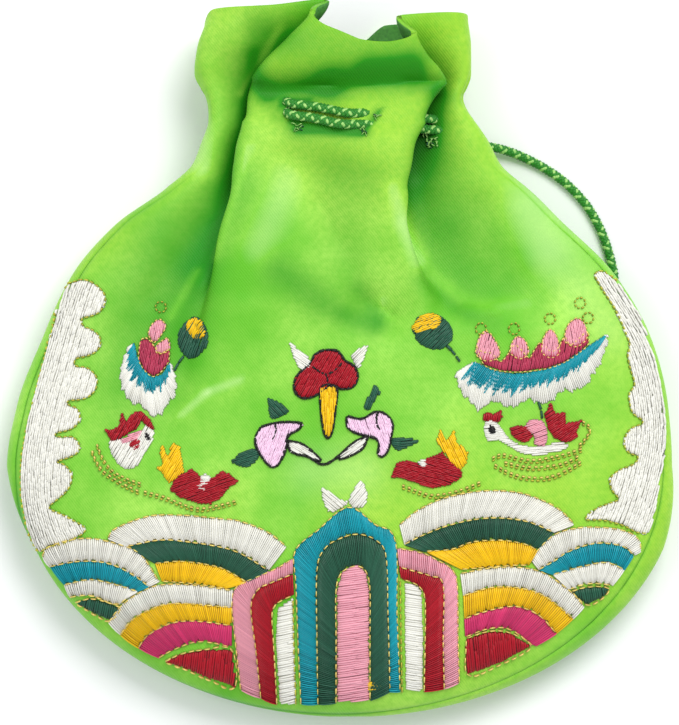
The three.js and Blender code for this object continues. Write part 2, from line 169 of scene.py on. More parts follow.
def through(stops, step):
    """Evenly spaced points on a smooth curve through stops."""
    stops = [Vector(stop) for stop in stops]
    ends = [stops[0] * 2 - stops[1], *stops, stops[-1] * 2 - stops[-2]]
    line = []
    for before, start, end, after in zip(ends, ends[1:], ends[2:], ends[3:]):
        for share in np.linspace(0, 1, 24, endpoint=False):
            bend = (2 * before - 5 * start + 4 * end - after) * share**2
            twist = (3 * start - before - 3 * end + after) * share**3
            line.append((2 * start + (end - before) * share + bend + twist) / 2)
    line = np.array([*line, stops[-1]])
    run = run_along(line)
    places = np.linspace(0, run[-1], max(3, round(run[-1] / step) + 1))
    return np.stack([np.interp(places, run, line[:, axis]) for axis in range(line.shape[1])], 1)


def frames_along(line):
    """Two directions square to a line at each of its points, turning as little as they can."""
    heading = np.gradient(line, axis=0)
    heading /= np.linalg.norm(heading, axis=1)[:, None]
    side = np.cross(heading[0], (0.3, 0.2, 1))
    sides = []
    for ahead in heading:
        side = side - ahead * side.dot(ahead)
        side = side / np.linalg.norm(side)
        sides.append(side)
    sides = np.array(sides)
    return sides, np.cross(heading, sides)


def link(name, mesh):
    """A new object at the origin that holds a mesh, smooth over its faces."""
    mesh.polygons.foreach_set("use_smooth", [True] * len(mesh.polygons))
    piece = bpy.data.objects.new(name, mesh)
    bpy.context.collection.objects.link(piece)
    return piece


def braided_cord(name, stops):
    """A cord of crossing yarns round a core, along a curve through stops in millimetres."""
    line = through(stops, CORD_STEP)
    side, lift = frames_along(line)
    run = np.arange(len(line)) * CORD_STEP
    curve = bpy.data.curves.new(name, "CURVE")
    curve.dimensions = "3D"
    curve.bevel_depth = YARN_RADIUS * MM
    curve.bevel_resolution = 1
    curve.use_fill_caps = True
    for material in cord_materials:
        curve.materials.append(material)
    middle = CORD_DIAMETER / 2 - YARN_INSET * YARN_RADIUS
    half = CORD_YARNS // 2
    for yarn in range(CORD_YARNS):
        way = 1 if yarn < half else -1
        turn = 2 * math.pi * (way * run / CORD_PITCH + (yarn % half) / half)
        height = middle + way * YARN_WAVE * YARN_RADIUS * np.cos(math.pi * CORD_YARNS * run / CORD_PITCH)
        points = line + (side * np.cos(turn)[:, None] + lift * np.sin(turn)[:, None]) * height[:, None]
        spline = curve.splines.new("POLY")
        spline.points.add(len(points) - 1)
        spline.points.foreach_set("co", np.c_[points * MM, np.ones(len(points))].ravel())
        spline.material_index = 1 if yarn % half == 0 else 0
    middle_line = line[::CORE_STEP]
    core = curve.splines.new("POLY")
    core.points.add(len(middle_line) - 1)
    core.points.foreach_set("co", np.c_[middle_line * MM, np.ones(len(middle_line))].ravel())
    core.points.foreach_set("radius", np.full(len(middle_line), middle / YARN_RADIUS))
    curve_object = bpy.data.objects.new(name + "_curve", curve)
    bpy.context.collection.objects.link(curve_object)
    shown = curve_object.evaluated_get(bpy.context.evaluated_depsgraph_get())
    mesh = bpy.data.meshes.new_from_object(shown)
    bpy.data.objects.remove(curve_object)
    mesh.name = name
    piece = link(name, mesh)
    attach(piece, "root")
    return piece, line * MM


cord_loop, loop_line = braided_cord("cord_loop_braid", LOOP_ROUTE)
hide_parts("cord_loop")
tuple(loop_line[0])
loop_line[::4].tolist() + [loop_line[-1].tolist()]

# Front panel: silk satin on interlining and lining, 1.2 mm in all. It was cut round with a broad neck. The
# drawcord gathers the neck into two deep pleats beside a middle lobe, and the hem flares out above it.
POUCH_WIDTH = 133
POUCH_LENGTH = 143
CLOTH = 1.2
SEAM_GAP = 0.3
SEAM_HEIGHT = 8
FRONT_FULLNESS = 11.2
BACK_FULLNESS = 9.6
FOLD_DEPTH = 8.4
FOLD_LEAN = 4
LEFT_FOLD = 0.306
RIGHT_FOLD = 0.65
LOWEST_ROW = 0.06
WIDEST = 0.348
NECK = 0.86
BELLY_EDGE = 0.42
SEAM_INSET = 1.6
SEAM_GROOVE = 0.35
SEAM_GROOVE_DEPTH = 0.45
SEAM_GROOVE_END = 0.8
BELLY_LEAN = 0.03
NECK_SOFTNESS = 0.03
NECK_PASSES = 24

# The lobe's lips roll out over the pleats, by a share of the pleats' lean
LIP_SPREAD = 0.04
LIP_ROLL = 1.3
# LIP_SHADE is how far the painted shade spreads beside each lip
LIP_SHADE = 1.35 * LIP_SPREAD
VALLEY_FLATNESS = 3

# How dark the painted shade of the dents may get together, and the painted shade of the groove of the seam
DARKEST_DENT = 1.15
GROOVE_SHADE = 0.8

# Sections up the length: where, half width, shift, seam height, front and back fullness, all as shares
HALF, SHIFT, SEAM, FRONT, BACK = range(1, 6)
sections = np.array([
    (0.348, 1.000, 0.000, 1.00, 1.00, 1.00),
    (0.432, 0.979, 0.009, 1.00, 1.02, 0.98),
    (0.533, 0.909, 0.022, 1.05, 1.05, 0.90),
    (0.617, 0.811, 0.012, 1.15, 1.07, 0.72),
    (0.684, 0.674, 0.002, 1.30, 1.04, 0.66),
    (0.734, 0.542, 0.022, 1.50, 0.95, 0.68),
    (0.768, 0.459, 0.021, 1.60, 0.88, 0.72),
    (0.801, 0.425, 0.017, 1.68, 0.82, 0.76),
    (0.835, 0.388, 0.004, 1.72, 0.77, 0.78),
    (0.860, 0.370, -0.017, 1.75, 0.76, 0.80),
    (0.885, 0.391, -0.017, 1.72, 0.80, 0.92),
    (0.919, 0.409, -0.020, 1.68, 0.88, 1.10),
    (0.952, 0.406, -0.017, 1.65, 0.95, 1.28),
    (1.000, 0.390, -0.010, 1.60, 1.00, 1.40),
])

# The pleats up the length: where, then place, depth and lean of the left one and of the right one
LEFT, LEFT_DEPTH, LEFT_LEAN, RIGHT, RIGHT_DEPTH, RIGHT_LEAN = range(1, 7)
pleats = np.array([
    (0.348, 0.210, 0.00, 0.00, 0.700, 0.00, 0.00),
    (0.432, 0.210, 0.14, 0.12, 0.700, 0.00, 0.00),
    (0.533, 0.215, 0.32, 0.40, 0.700, 0.06, 0.00),
    (0.575, 0.220, 0.40, 0.55, 0.700, 0.42, 0.35),
    (0.617, 0.224, 0.50, 0.70, 0.685, 0.72, 0.60),
    (0.684, 0.217, 0.70, 0.90, 0.681, 0.92, 0.80),
    (0.734, 0.178, 0.85, 0.95, 0.689, 1.00, 0.90),
    (0.768, 0.141, 0.92, 0.95, 0.728, 1.00, 0.90),
    (0.801, 0.131, 0.95, 0.90, 0.759, 1.00, 0.90),
    (0.835, 0.130, 0.95, 0.85, 0.837, 0.95, 0.85),
    (0.860, 0.130, 0.95, 0.80, 0.900, 0.85, 0.75),
    (0.885, 0.158, 0.90, 0.80, 0.920, 0.80, 0.70),
    (0.919, 0.228, 0.80, 0.80, 0.890, 0.72, 0.70),
    (0.952, 0.310, 0.70, 0.80, 0.837, 0.66, 0.70),
    (1.000, 0.400, 0.60, 0.80, 0.794, 0.60, 0.70),
])

# How far each hem drops below the top of the frill: share of the cloth's width, share of the length
front_hem = np.array([
    (0.00, 0.050), (0.06, 0.032), (0.12, 0.014), (0.22, 0.009), (0.30, 0.000), (0.34, 0.008), (0.40, 0.040),
    (0.46, 0.058), (0.53, 0.061), (0.60, 0.045), (0.65, 0.022), (0.80, 0.018), (0.93, 0.022), (1.00, 0.050),
])
back_hem = np.array([
    (0.00, 0.050), (0.08, 0.030), (0.36, 0.030), (0.45, 0.056), (0.55, 0.058), (0.63, 0.030), (0.92, 0.026),
    (1.00, 0.050),
])

# Dents and soft ridges, in millimetres: X and Y of the start and of the end, width and depth
front_dents = [
    (-4, 33.6, 5.3, 10, 6.7, 1.7), (6.7, 10.7, 10, 7.9, 4, 1.8), (-14.6, 53.2, 14.6, 54.3, 3.5, 2.5),
    (-10, 50.3, 6.7, 48.3, 4, 1.3),
]
fine_wrinkles = [
    (2, 46.9, 8, 52.9, 1.1, -0.9), (8, 52.9, 20, 53.9, 1.1, -0.8), (-15.9, 52.9, -2, 54.5, 1, 0.7),
    (12, 55.5, 21, 55.2, 1, 0.8), (-4, 31, 4.6, 12, 1.8, 0.5), (7.6, 10.4, 9.7, 8.4, 0.8, 0.9),
    (17.5, 35, 19, 18, 1.4, -0.7), (26, 9.6, 31.5, 9.4, 1, -0.7), (31.5, 9.4, 35, 11.2, 1.1, -0.6),
    (36, 29, 38.5, 20, 2.2, -0.7), (39.5, 30, 44, 19, 2, 0.5), (-23.5, 32, -29.5, 15, 1.8, -0.6),
    (-30, 14, -34, -4, 2.6, -0.7), (-31, 27, -39, 12, 2.4, 0.5), (-37, 24, -46, 9, 2.4, -0.4),
    (-10, 40, -16, 14, 2.6, 0.45), (12.5, 38, 11, 20, 2.4, -0.4), (-25, 60, -27, 44, 2, 0.6),
    (-22, 66, -20, 50, 1.6, -0.5), (23, 64, 24.5, 48, 1.8, 0.6),
]

# Painted shade where the cloth turns from the light, besides the pleats, and painted shadow at the cord's
# slits: start, end, width and share of painted shade
fold_shadows = [
    (-15, 53.6, -2, 54.6, 3, 1.05), (-2, 54.8, 14, 58, 3.2, 0.95), (6, 57, 19, 54.5, 2.6, 0.7),
    (-10.9, 50.6, -8, 46.2, 0.9, 1.2), (-10.9, 50.9, -6, 51, 0.8, 0.9), (-7.6, 45.6, 4.8, 45, 0.9, 1.1),
    (7.6, 49.2, 5.2, 45.6, 0.8, 1), (-12, 48.5, -9, 46, 2.2, 0.5), (-8, 45.9, 4.5, 45, 1.4, 0.75),
    (-16, 66, -12, 64, 4, 0.5), (20.5, 52, 18, 44, 2.4, 0.6), (3.5, 14, 8.6, 8.2, 2.4, 0.5),
    (-12, 17.6, -3.6, 11.4, 3.6, 0.6), (0.8, 8.8, 6.6, 6.4, 2.6, 0.62), (-17.6, 61, -14.6, 52, 2.2, 0.45),
    (15.9, 15.4, 23.2, 9.6, 1.8, 0.32), (26, 8, 31, 6.8, 1.8, 0.28), (-6, 62, 14, 60, 5, 0.38),
    (-6, 42, 6, 36, 5, 0.34), (0, 36, 2, 20, 6, 0.26), (-37, 26, -42, -4, 7, 0.22),
    (30, 30, 34, 16, 5, 0.22), (-20, 34, -29, 18, 5, 0.3), (-26, 16, -30, 2, 6, 0.15),
    (22, 26, 26, 12, 4, 0.25),
]

# Painted highlight where it turns towards the light: start, end, width and share
lit_ridges = [
    (37, 30, 41, 22, 6, 0.5), (12.5, 27, 16.4, 19.8, 1.6, 0.32), (18.3, 17, 21.8, 13.8, 1.6, 0.36),
    (24.4, 12, 28.4, 10.6, 1.6, 0.32), (31.2, 10.4, 37, 11.2, 1.6, 0.26), (8.6, 11.8, 9.8, 8.2, 1.1, 0.4),
    (-27.5, 46, -27, 38, 2.4, 0.5), (48, 14, 54, 6, 5, 0.2), (-6, -22, 4, -22, 5, 0.25),
    (-10, 36, -16, 22, 3.4, 0.3), (10.5, 34, 15.5, 19.5, 1.6, 0.45), (-17.8, 42, -24.4, 20, 0.8, 0.4),
    (-31.3, -11.1, -26.3, -6.5, 0.8, 0.45), (-26.3, -6.5, -19.9, -4.1, 0.8, 0.4),
    (-33.5, 8.5, -28.3, 17.3, 0.9, 0.45), (-20, 53, -12, 66, 0.9, 0.5),
]

# How dark the painted shade of the pleats is up the length: where, then the left one and the right one
pleat_shades = np.array([
    (0.348, 1.1, 0.3), (0.620, 1.2, 0.45), (0.700, 1.2, 0.85), (0.740, 1.7, 1.25), (0.790, 2.2, 1.9),
    (0.870, 1.6, 1.8), (0.930, 1.1, 0.7), (1.000, 0.8, 0.2),
])

# Both pleats: place, which way the lobe lies, their spread and that of their painted shade, and their columns
pleat_pair = (
    (LEFT_FOLD, 1, 0.085, 0.08, LEFT_DEPTH, LEFT_LEAN, 1),
    (RIGHT_FOLD, -1, 0.11, 0.09, RIGHT_DEPTH, RIGHT_LEAN, 2),
)


def read(table, place, column):
    """A column of a table at places in its first column, on a smooth curve that never overshoots."""
    key, value = table[:, 0], table[:, column]
    slope = np.diff(value) / np.diff(key)
    before, after = np.r_[0, slope], np.r_[slope, 0]
    meet = before * after > 0
    tangent = np.where(meet, 2 * before * after / np.where(meet, before + after, 1), 0)
    row = np.clip(np.searchsorted(key, place) - 1, 0, len(key) - 2)
    span = key[row + 1] - key[row]
    share = np.clip((place - key[row]) / span, 0, 1)
    ease = share * share * (3 - 2 * share)
    leave = tangent[row] * span * share * (1 - share) ** 2
    arrive = tangent[row + 1] * span * share**2 * (1 - share)
    return value[row] * (1 - ease) + value[row + 1] * ease + leave - arrive


def bell(distance, spread, power=2):
    """A bump that is 1 in its middle and fades out beyond its spread."""
    return np.exp(-(np.abs(distance / spread) ** power))


def section_at(along):
    """Half width, middle, seam height, front and back fullness in millimetres at a share of the length."""
    upper = max(along, WIDEST)
    below = max(0, 1 - along / WIDEST)
    round_off = math.sqrt(max(0, 1 - below * below))
    turn = max(0, (round_off - LOWEST_ROW) / (1 - LOWEST_ROW)) ** (2 * BELLY_EDGE)
    lean = BELLY_LEAN * min(1, below * 3)
    return (
        read(sections, upper, HALF) * round_off * (POUCH_WIDTH / 2 - CLOTH / 2),
        (read(sections, upper, SHIFT) + lean) * POUCH_WIDTH / 2,
        read(sections, upper, SEAM) * SEAM_HEIGHT,
        read(sections, upper, FRONT) * FRONT_FULLNESS * turn,
        read(sections, upper, BACK) * BACK_FULLNESS * turn,
    )


def lengthwise(cloth, along, hem):
    """Place along Y: straight rows up to the neck, then rows that fan out to the hem."""
    bottom = CLOTH / 2 - POUCH_LENGTH / 2
    length = POUCH_LENGTH - CLOTH / 2
    share = max(0, (along - NECK) / (1 - NECK))
    top = 1 - read(hem, cloth, 1)
    return bottom + (min(along, NECK) + (top - NECK) * share) * length


def dent_at(dents, x, y):
    """Depth in millimetres of the dents at places of the photograph's plane."""
    here = np.stack([x, y], -1)
    depth = np.zeros(np.shape(x))
    for x1, y1, x2, y2, width, deep in dents:
        start, end = np.array([x1, y1]), np.array([x2, y2])
        share = np.clip(((here - start) @ (end - start)) / ((end - start) @ (end - start)), 0, 1)
        away = np.linalg.norm(here - start - share[..., None] * (end - start), axis=-1)
        depth += deep * bell(away, width)
    return depth


def seam_groove(x, y, along):
    """How much of the groove beside the side seam a place lies in, from 0 to 1."""
    half, middle, _, _, _ = section_at(max(along, WIDEST))
    inset = half - np.abs(x - middle)
    if along < WIDEST:
        widest_row = (WIDEST - 0.5) * POUCH_LENGTH
        inset = (1 - np.hypot((x - middle) / half, (y - widest_row) / (WIDEST * POUCH_LENGTH))) * half
    return bell(inset - SEAM_INSET, SEAM_GROOVE) * min(1, max(0, (SEAM_GROOVE_END - along) / 0.2))


def front_point(cloth, along, fine=0):
    """The middle of the front's cloth for an array of shares of its width, in millimetres."""
    cloth = np.asarray(cloth, float)
    half, middle, seam, front, _ = section_at(along)
    lips = [math.acos(1 - 2 * read(pleats, along, side)) / math.pi for side in (LEFT, RIGHT)]
    stations = np.array([(0, 0), (LEFT_FOLD, lips[0]), (RIGHT_FOLD, lips[1]), (1, 1)])
    angle = read(stations, cloth, 1) * math.pi
    crown = np.abs(np.sin(angle)) ** (2 * BELLY_EDGE)
    x = middle - half * np.cos(angle)
    y = lengthwise(cloth, along, front_hem)
    z = seam + SEAM_GAP / 2 + crown * (front - dent_at(front_dents, x, y))
    z -= fine * crown * dent_at(fine_wrinkles, x, y)
    z -= fine * seam_groove(x, y, along) * SEAM_GROOVE_DEPTH
    for fold, toward, spread, _, depth, lean, _ in pleat_pair:
        inward = (cloth - fold) * toward
        valley = np.where(inward < 0, bell(inward, spread), bell(inward, LIP_SPREAD, VALLEY_FLATNESS))
        lip = bell(inward - 1.7 * LIP_SPREAD, 1.1 * LIP_SPREAD)
        x = x + toward * (valley - LIP_ROLL * lip) * read(pleats, along, lean) * FOLD_LEAN
        z = z - valley * read(pleats, along, depth) * FOLD_DEPTH
    return np.stack([x, y, z], -1)


def turned(count, power):
    """Shares from 0 to 1, closer together towards both ends."""
    even = np.linspace(0, 1, count)
    return (1 - power) * even + power * (1 - np.cos(even * math.pi)) / 2


def painted_shade_at(cloth, along):
    """Painted shade and highlight of a place on the front: -1 a painted highlight, 2 the darkest painted
    shade in a pleat.
    """
    cloth = np.asarray(cloth, float)
    x, y, _ = front_point(cloth, along).T
    # Painted shade in the dents and at the slits, less the painted highlight on ridges, and painted shade in
    # the seam's groove
    deep = np.minimum(DARKEST_DENT, dent_at(fold_shadows, x, y)) - dent_at(lit_ridges, x, y)
    deep = deep + GROOVE_SHADE * seam_groove(x, y, along)
    # Painted shade in the pleats, darkest deep in them
    for fold, toward, _, spread, depth, _, shade in pleat_pair:
        inward = (cloth - fold) * toward
        valley = np.where(inward < 0, bell(inward, spread), bell(inward, LIP_SHADE, VALLEY_FLATNESS))
        deep = deep + valley * read(pleats, along, depth) * read(pleat_shades, along, shade)
    return np.clip(deep, -1, 2)


def cloth_panel(name, point, columns, rows, outward, fold=None):
    """A grid of cloth over a surface, its wall from a Solidify modifier, and a layer of painted fold shade
    and highlight.
    """
    mesh = bpy.data.meshes.new(name)
    form = bmesh.new()
    painted_shade_layer = form.verts.layers.float.new("fold")
    bmesh.ops.create_grid(form, x_segments=len(columns) - 1, y_segments=len(rows) - 1, size=0.5)
    places = np.concatenate([point(columns, along) for along in rows]) * MM
    form.verts.ensure_lookup_table()
    order = sorted(form.verts, key=lambda corner: (round(corner.co.y, 6), corner.co.x))
    for corner, place in zip(order, places):
        corner.co = place
    # The fold layer holds painted shade above 0 and painted highlight below 0
    painted_shades = np.concatenate([fold(columns, along) if fold else np.zeros(len(columns)) for along in rows])
    for corner, depth in zip(order, painted_shades):
        corner[painted_shade_layer] = depth
    rising = np.repeat(rows, len(columns))
    neck = [corner for corner, along in zip(order, rising) if abs(along - NECK) < NECK_SOFTNESS]
    neck = [corner for corner in neck if not corner.is_boundary]
    for _ in range(NECK_PASSES):
        bmesh.ops.smooth_vert(
            form, verts=neck, factor=0.5, use_axis_x=True, use_axis_y=True, use_axis_z=True
        )
    if outward < 0:
        bmesh.ops.reverse_faces(form, faces=form.faces)
    form.to_mesh(mesh)
    form.free()
    panel = link(name, mesh)
    wall = panel.modifiers.new("wall", "SOLIDIFY")
    wall.thickness = CLOTH * MM
    wall.offset = 0
    wall.use_even_offset = False
    wall.material_offset = 1
    return panel


front_columns = turned(190, 0.45)
lowest_turn = math.asin(LOWEST_ROW)
lower_rows = WIDEST * (1 - np.cos(np.linspace(lowest_turn, math.pi / 2, 60)))
front_rows = np.r_[lower_rows[:-1], np.linspace(WIDEST, NECK, 110)[:-1], np.linspace(NECK, 1, 34)]
front_cloth = cloth_panel(
    "front_satin",
    lambda cloth, along: front_point(cloth, along, fine=1),
    front_columns,
    front_rows,
    outward=1,
    fold=painted_shade_at,
)

# Back panel: the same cloth as the front. It lies flat on the floor under the belly, stands free of it at
# the neck and is gathered there too.
GATHER_DEPTH = 2
GATHER_START = 0.62
back_gathers = [(0.27, 0.060), (0.73, 0.060)]


def back_point(cloth, along):
    """The middle of the back's cloth for an array of shares of its width, in millimetres."""
    cloth = np.asarray(cloth, float)
    half, middle, seam, _, back = section_at(along)
    angle = cloth * math.pi
    crown = np.abs(np.sin(angle)) ** (2 * BELLY_EDGE)
    drawn = min(1, max(0, (along - GATHER_START) / (NECK - GATHER_START)))
    drawn = drawn * drawn * (3 - 2 * drawn)
    gather = sum(bell(cloth - place, wide) for place, wide in back_gathers) * drawn * GATHER_DEPTH
    x = middle - half * np.cos(angle)
    y = lengthwise(cloth, along, back_hem)
    z = np.maximum(CLOTH / 2 + 0.02, seam - SEAM_GAP / 2 - back * crown + gather)
    return np.stack([x, y, z], -1)


back_columns = turned(120, 0.5)
back_rows = np.r_[lower_rows[::2][:-1], np.linspace(WIDEST, NECK, 60)[:-1], np.linspace(NECK, 1, 24)]
back_cloth = cloth_panel("back_satin", back_point, back_columns, back_rows, outward=-1)

# Satin: silk woven with a fine slanting twill. A painted highlight makes the cloth bright where it turns to
# the light, and painted shade makes it deep green in the folds.
SATIN_THREAD = 0.45
TWILL_ANGLE = -38


def ranged(tree, value, low, high, most=1):
    """A value as a share, from none at low to the most at high."""
    inputs = {"Value": value, "From Min": low, "From Max": high, "To Max": most}
    return add_node(tree, "ShaderNodeMapRange", inputs).outputs["Result"]


def silk_satin(name, bright, light, dark, tint, shadow, deep_shadow):
    """Silk dyed in soft clouds with painted fold shade and highlight, and a twill and its fibres as a relief.
    """
    material, tree = new_material(name)
    dyed = mixed(tree, ranged(tree, noise(tree, 38, 3, 0.55), 0.35, 0.65), dark, light)
    dyed = mixed(tree, ranged(tree, noise(tree, 17), 0.5, 0.68, 0.6), dyed, tint)
    dyed = mixed(tree, ranged(tree, noise(tree, 900, 3), 0.35, 0.7, 0.35), dyed, dark)
    # Painted highlight where the fold layer is below 0, painted shade from 0 to 1 and deeper painted shade
    # from 1 to 2
    fold = add_node(tree, "ShaderNodeAttribute", attribute_name="fold").outputs["Fac"]
    dyed = mixed(tree, ranged(tree, fold, 0, -1, 0.8), dyed, bright)
    dyed = mixed(tree, ranged(tree, fold, 0, 1, 0.94), dyed, shadow)
    dyed = mixed(tree, ranged(tree, fold, 1, 2, 0.94), dyed, deep_shadow)
    place = add_node(tree, "ShaderNodeTexCoord").outputs["Object"]
    slant = {"Vector": place, "Rotation": (0, 0, math.radians(TWILL_ANGLE))}
    twill = {
        "Vector": add_node(tree, "ShaderNodeMapping", slant).outputs["Vector"],
        "Scale": 2 * math.pi / (SATIN_THREAD * MM) / 20,
        "Distortion": 1.2,
        "Detail": 1,
        "Detail Scale": 2,
    }
    ribs = relief(tree, add_node(tree, "ShaderNodeTexWave", twill).outputs["Fac"], 0.42)
    settings = {
        "Roughness": 0.5,
        "IOR": 1.5,
        "Specular IOR Level": 0.2,
        "Anisotropic": 0.3,
        "Sheen Weight": 0.22,
        "Sheen Roughness": 0.3,
        "Sheen Tint": linear("CFF58A"),
        "Normal": relief(tree, noise(tree, 1400), 0.25, ribs),
    }
    surface(tree, dyed, settings)
    return material


# The first colour is the painted highlight, the last two the painted shadow and the deepest painted shadow
satin = silk_satin("silk_satin_lime", "D2F6A8", "A6E258", "62BC26", "A4D02A", "0F8A0C", "053E04")

# Lining: plain-woven polyester in a deeper green, sewn in with the side seam and turned in at the hem
lining, tree = new_material("polyester_lining_green")
weave = noise(tree, 1500)
settings = {"Roughness": 0.7, "IOR": 1.5, "Normal": relief(tree, weave, 0.3)}
surface(tree, mixed(tree, weave, "1F5E18", "4E9C34"), settings)
for panel, node in ((front_cloth, "front_panel"), (back_cloth, "back_panel")):
    panel.data.materials.append(satin)
    panel.data.materials.append(lining)
    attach(panel, "root")
    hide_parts(node)

# Neck cord: the same cord runs once and a half round the gathered neck as two strands side by side. They
# lie on the middle lobe and on the back, and run through slits in the side pleats in between.
STRAND_PITCH = 2.2
CORD_CLEARANCE = 0.25
CORD_UNDER_CLOTH = 2.2
satin_surface = BVHTree.FromObject(front_cloth, bpy.context.evaluated_depsgraph_get())
neck_route = [
    ("back", 0.66, 0, 0.836),
    ("back", 0.58, 0, 0.842),
    ("back", 0.50, 0, 0.848),
    ("back", 0.42, 0, 0.852),
    ("back", 0.35, 0, 0.855),
    ("pleat", -0.66, 0.17, 0.857),
    ("pleat", -0.79, 0.29, 0.859),
    ("pleat", -0.82, 0.42, 0.860),
    ("pleat", -0.74, 0.30, 0.860),
    ("pleat", -0.64, 0.36, 0.860),
    ("pleat", -0.52, 0.58, 0.860),
    ("pleat", -0.43, 0.84, 0.860),
    ("front", 0.422, 0, 0.853),
    ("front", 0.447, 0, 0.849),
    ("front", 0.472, 0, 0.844),
    ("front", 0.497, 0, 0.840),
    ("pleat", 0.33, 0.87, 0.841),
    ("pleat", 0.42, 0.70, 0.838),
    ("pleat", 0.56, 0.60, 0.836),
    ("slit", 0.66, 0.57, 0.834),
    ("pleat", 0.79, 0.50, 0.833),
    ("pleat", 0.85, 0.40, 0.832),
    ("pleat", 0.81, 0.28, 0.831),
]
ring_end = [("pleat", 0.74, 0.17, 0.833), ("back", 0.70, 0, 0.834), ("back", 0.669, 0, 0.835)]


def neck_place(stop, towards_belly):
    """A stop of the neck cord in millimetres: on the cloth, or in the pleats by shares of the neck."""
    layer, across, height, along = stop
    along -= towards_belly / POUCH_LENGTH
    proud = CLOTH / 2 + CORD_CLEARANCE + CORD_DIAMETER / 2
    if layer == "front":
        return tuple(front_point([across], along)[0] + (0, 0, proud))
    if layer == "back":
        return tuple(back_point([across], along)[0] - (0, 0, proud))
    half, middle, seam, front, back = section_at(along)
    x, y = middle + half * across, lengthwise(0.5, along, front_hem)
    z = seam - back + (front + back) * height
    if layer == "pleat":
        top = satin_surface.ray_cast(Vector((x, y, 50)) * MM, Vector((0, 0, -1)))[0]
        z = min(z, top.z / MM - CORD_UNDER_CLOTH)
    return (x, y, z)


for name, stops, towards_belly in (
    ("neck_cord_upper", neck_route + ring_end, 0),
    ("neck_cord_lower", neck_route, STRAND_PITCH),
):
    strand, _ = braided_cord(name + "_braid", [neck_place(stop, towards_belly) for stop in stops])
    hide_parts(name)

# Embroidery: rayon floss in satin stitch over a thin padding, each colour laid thread beside thread, and a
# gold thread in running stitch along its edges. Every thread is a closed spindle that dives into the satin.
THREAD_PITCH = 0.42
FINE_PITCH = 0.34
THREAD_ROWS = (0, 0.07, 0.35, 0.65, 0.93, 1)
BUNCH = 5
PILE = 0.75
DIVE = 0.05
JITTER = 0.05
SHORTEST = 0.3
END_PILE = 0.7
BEADS = {"dash": 0.7, "gap": 0.3, "width": 0.36}

# Laid threads run along a guide in small steps. They take so many steps for each millimetre of the longest
# one, a rest of a few steps joins the thread before it, and neighbours in a row overlap.
GUIDE_STEP = 0.1
LAID_STEPS = (6, 12)
LAST_STEPS = 8
OVERLAP_STEPS = 9
LAID_WIDTH = 1.6
ACROSS_WIDTH = 1.25

# A thread that climbs by more than this over a fold is left out
STEEPEST = 1.5
rng = np.random.default_rng(7)


def on_satin(x, y):
    """Place and normal of the satin at a place of the photograph's plane."""
    aim = Vector((x * MM, y * MM, SEAM_PLANE)) - camera.location
    place, normal, _, _ = satin_surface.ray_cast(camera.location, aim)
    if place is None:
        place, normal, _, _ = satin_surface.find_nearest(camera.location + aim)
    return place, normal


def line_of(pixels, step=0.2):
    """A smooth line through pixels of the photograph, in millimetres."""
    return through([in_photo(*pixel) for pixel in pixels], step)


def at_shares(line, shares):
    """Points at shares of a line's length."""
    run = run_along(line)
    return np.stack([np.interp(shares * run[-1], run, line[:, axis]) for axis in (0, 1)], 1)


def as_threads(start, end, width, pile):
    """Threads as rows of start, end, width and pile."""
    count = len(start)
    width = width * rng.uniform(0.85, 1.15, count)
    pile = pile * rng.uniform(0.8, 1.15, count)
    return np.c_[start, end, width, pile]


def across(outer, inner, pitch=THREAD_PITCH, ragged=0.25, pile=PILE):
    """Threads side by side from one edge of a band to the other."""
    outer, inner = line_of(outer), line_of(inner)
    count = max(3, math.ceil(max(run_along(outer)[-1], run_along(inner)[-1]) / pitch))
    shares = np.linspace(0, 1, count)
    start, end = at_shares(outer, shares), at_shares(inner, shares)
    way = (end - start) / np.maximum(np.linalg.norm(end - start, axis=1), 0.1)[:, None]
    bunch = np.abs((np.arange(count) / BUNCH + rng.uniform(-0.1, 0.1, count)) % 1 - 0.5) * 4 - 1
    start = start - way * rng.uniform(0, 0.3, count)[:, None]
    end = end + way * (0.1 + (bunch + rng.uniform(-0.6, 0.6, count))[:, None] * ragged)
    return as_threads(start, end, pitch * ACROSS_WIDTH, pile)


def inside(outline, points):
    """Which points lie in a closed outline."""
    found = np.zeros(len(points), bool)
    for (x1, y1), (x2, y2) in zip(outline, np.roll(outline, -1, axis=0)):
        if y1 == y2:
            continue
        span = (y1 > points[:, 1]) != (y2 > points[:, 1])
        found ^= span & (points[:, 0] < (x2 - x1) * (points[:, 1] - y1) / (y2 - y1) + x1)
    return found


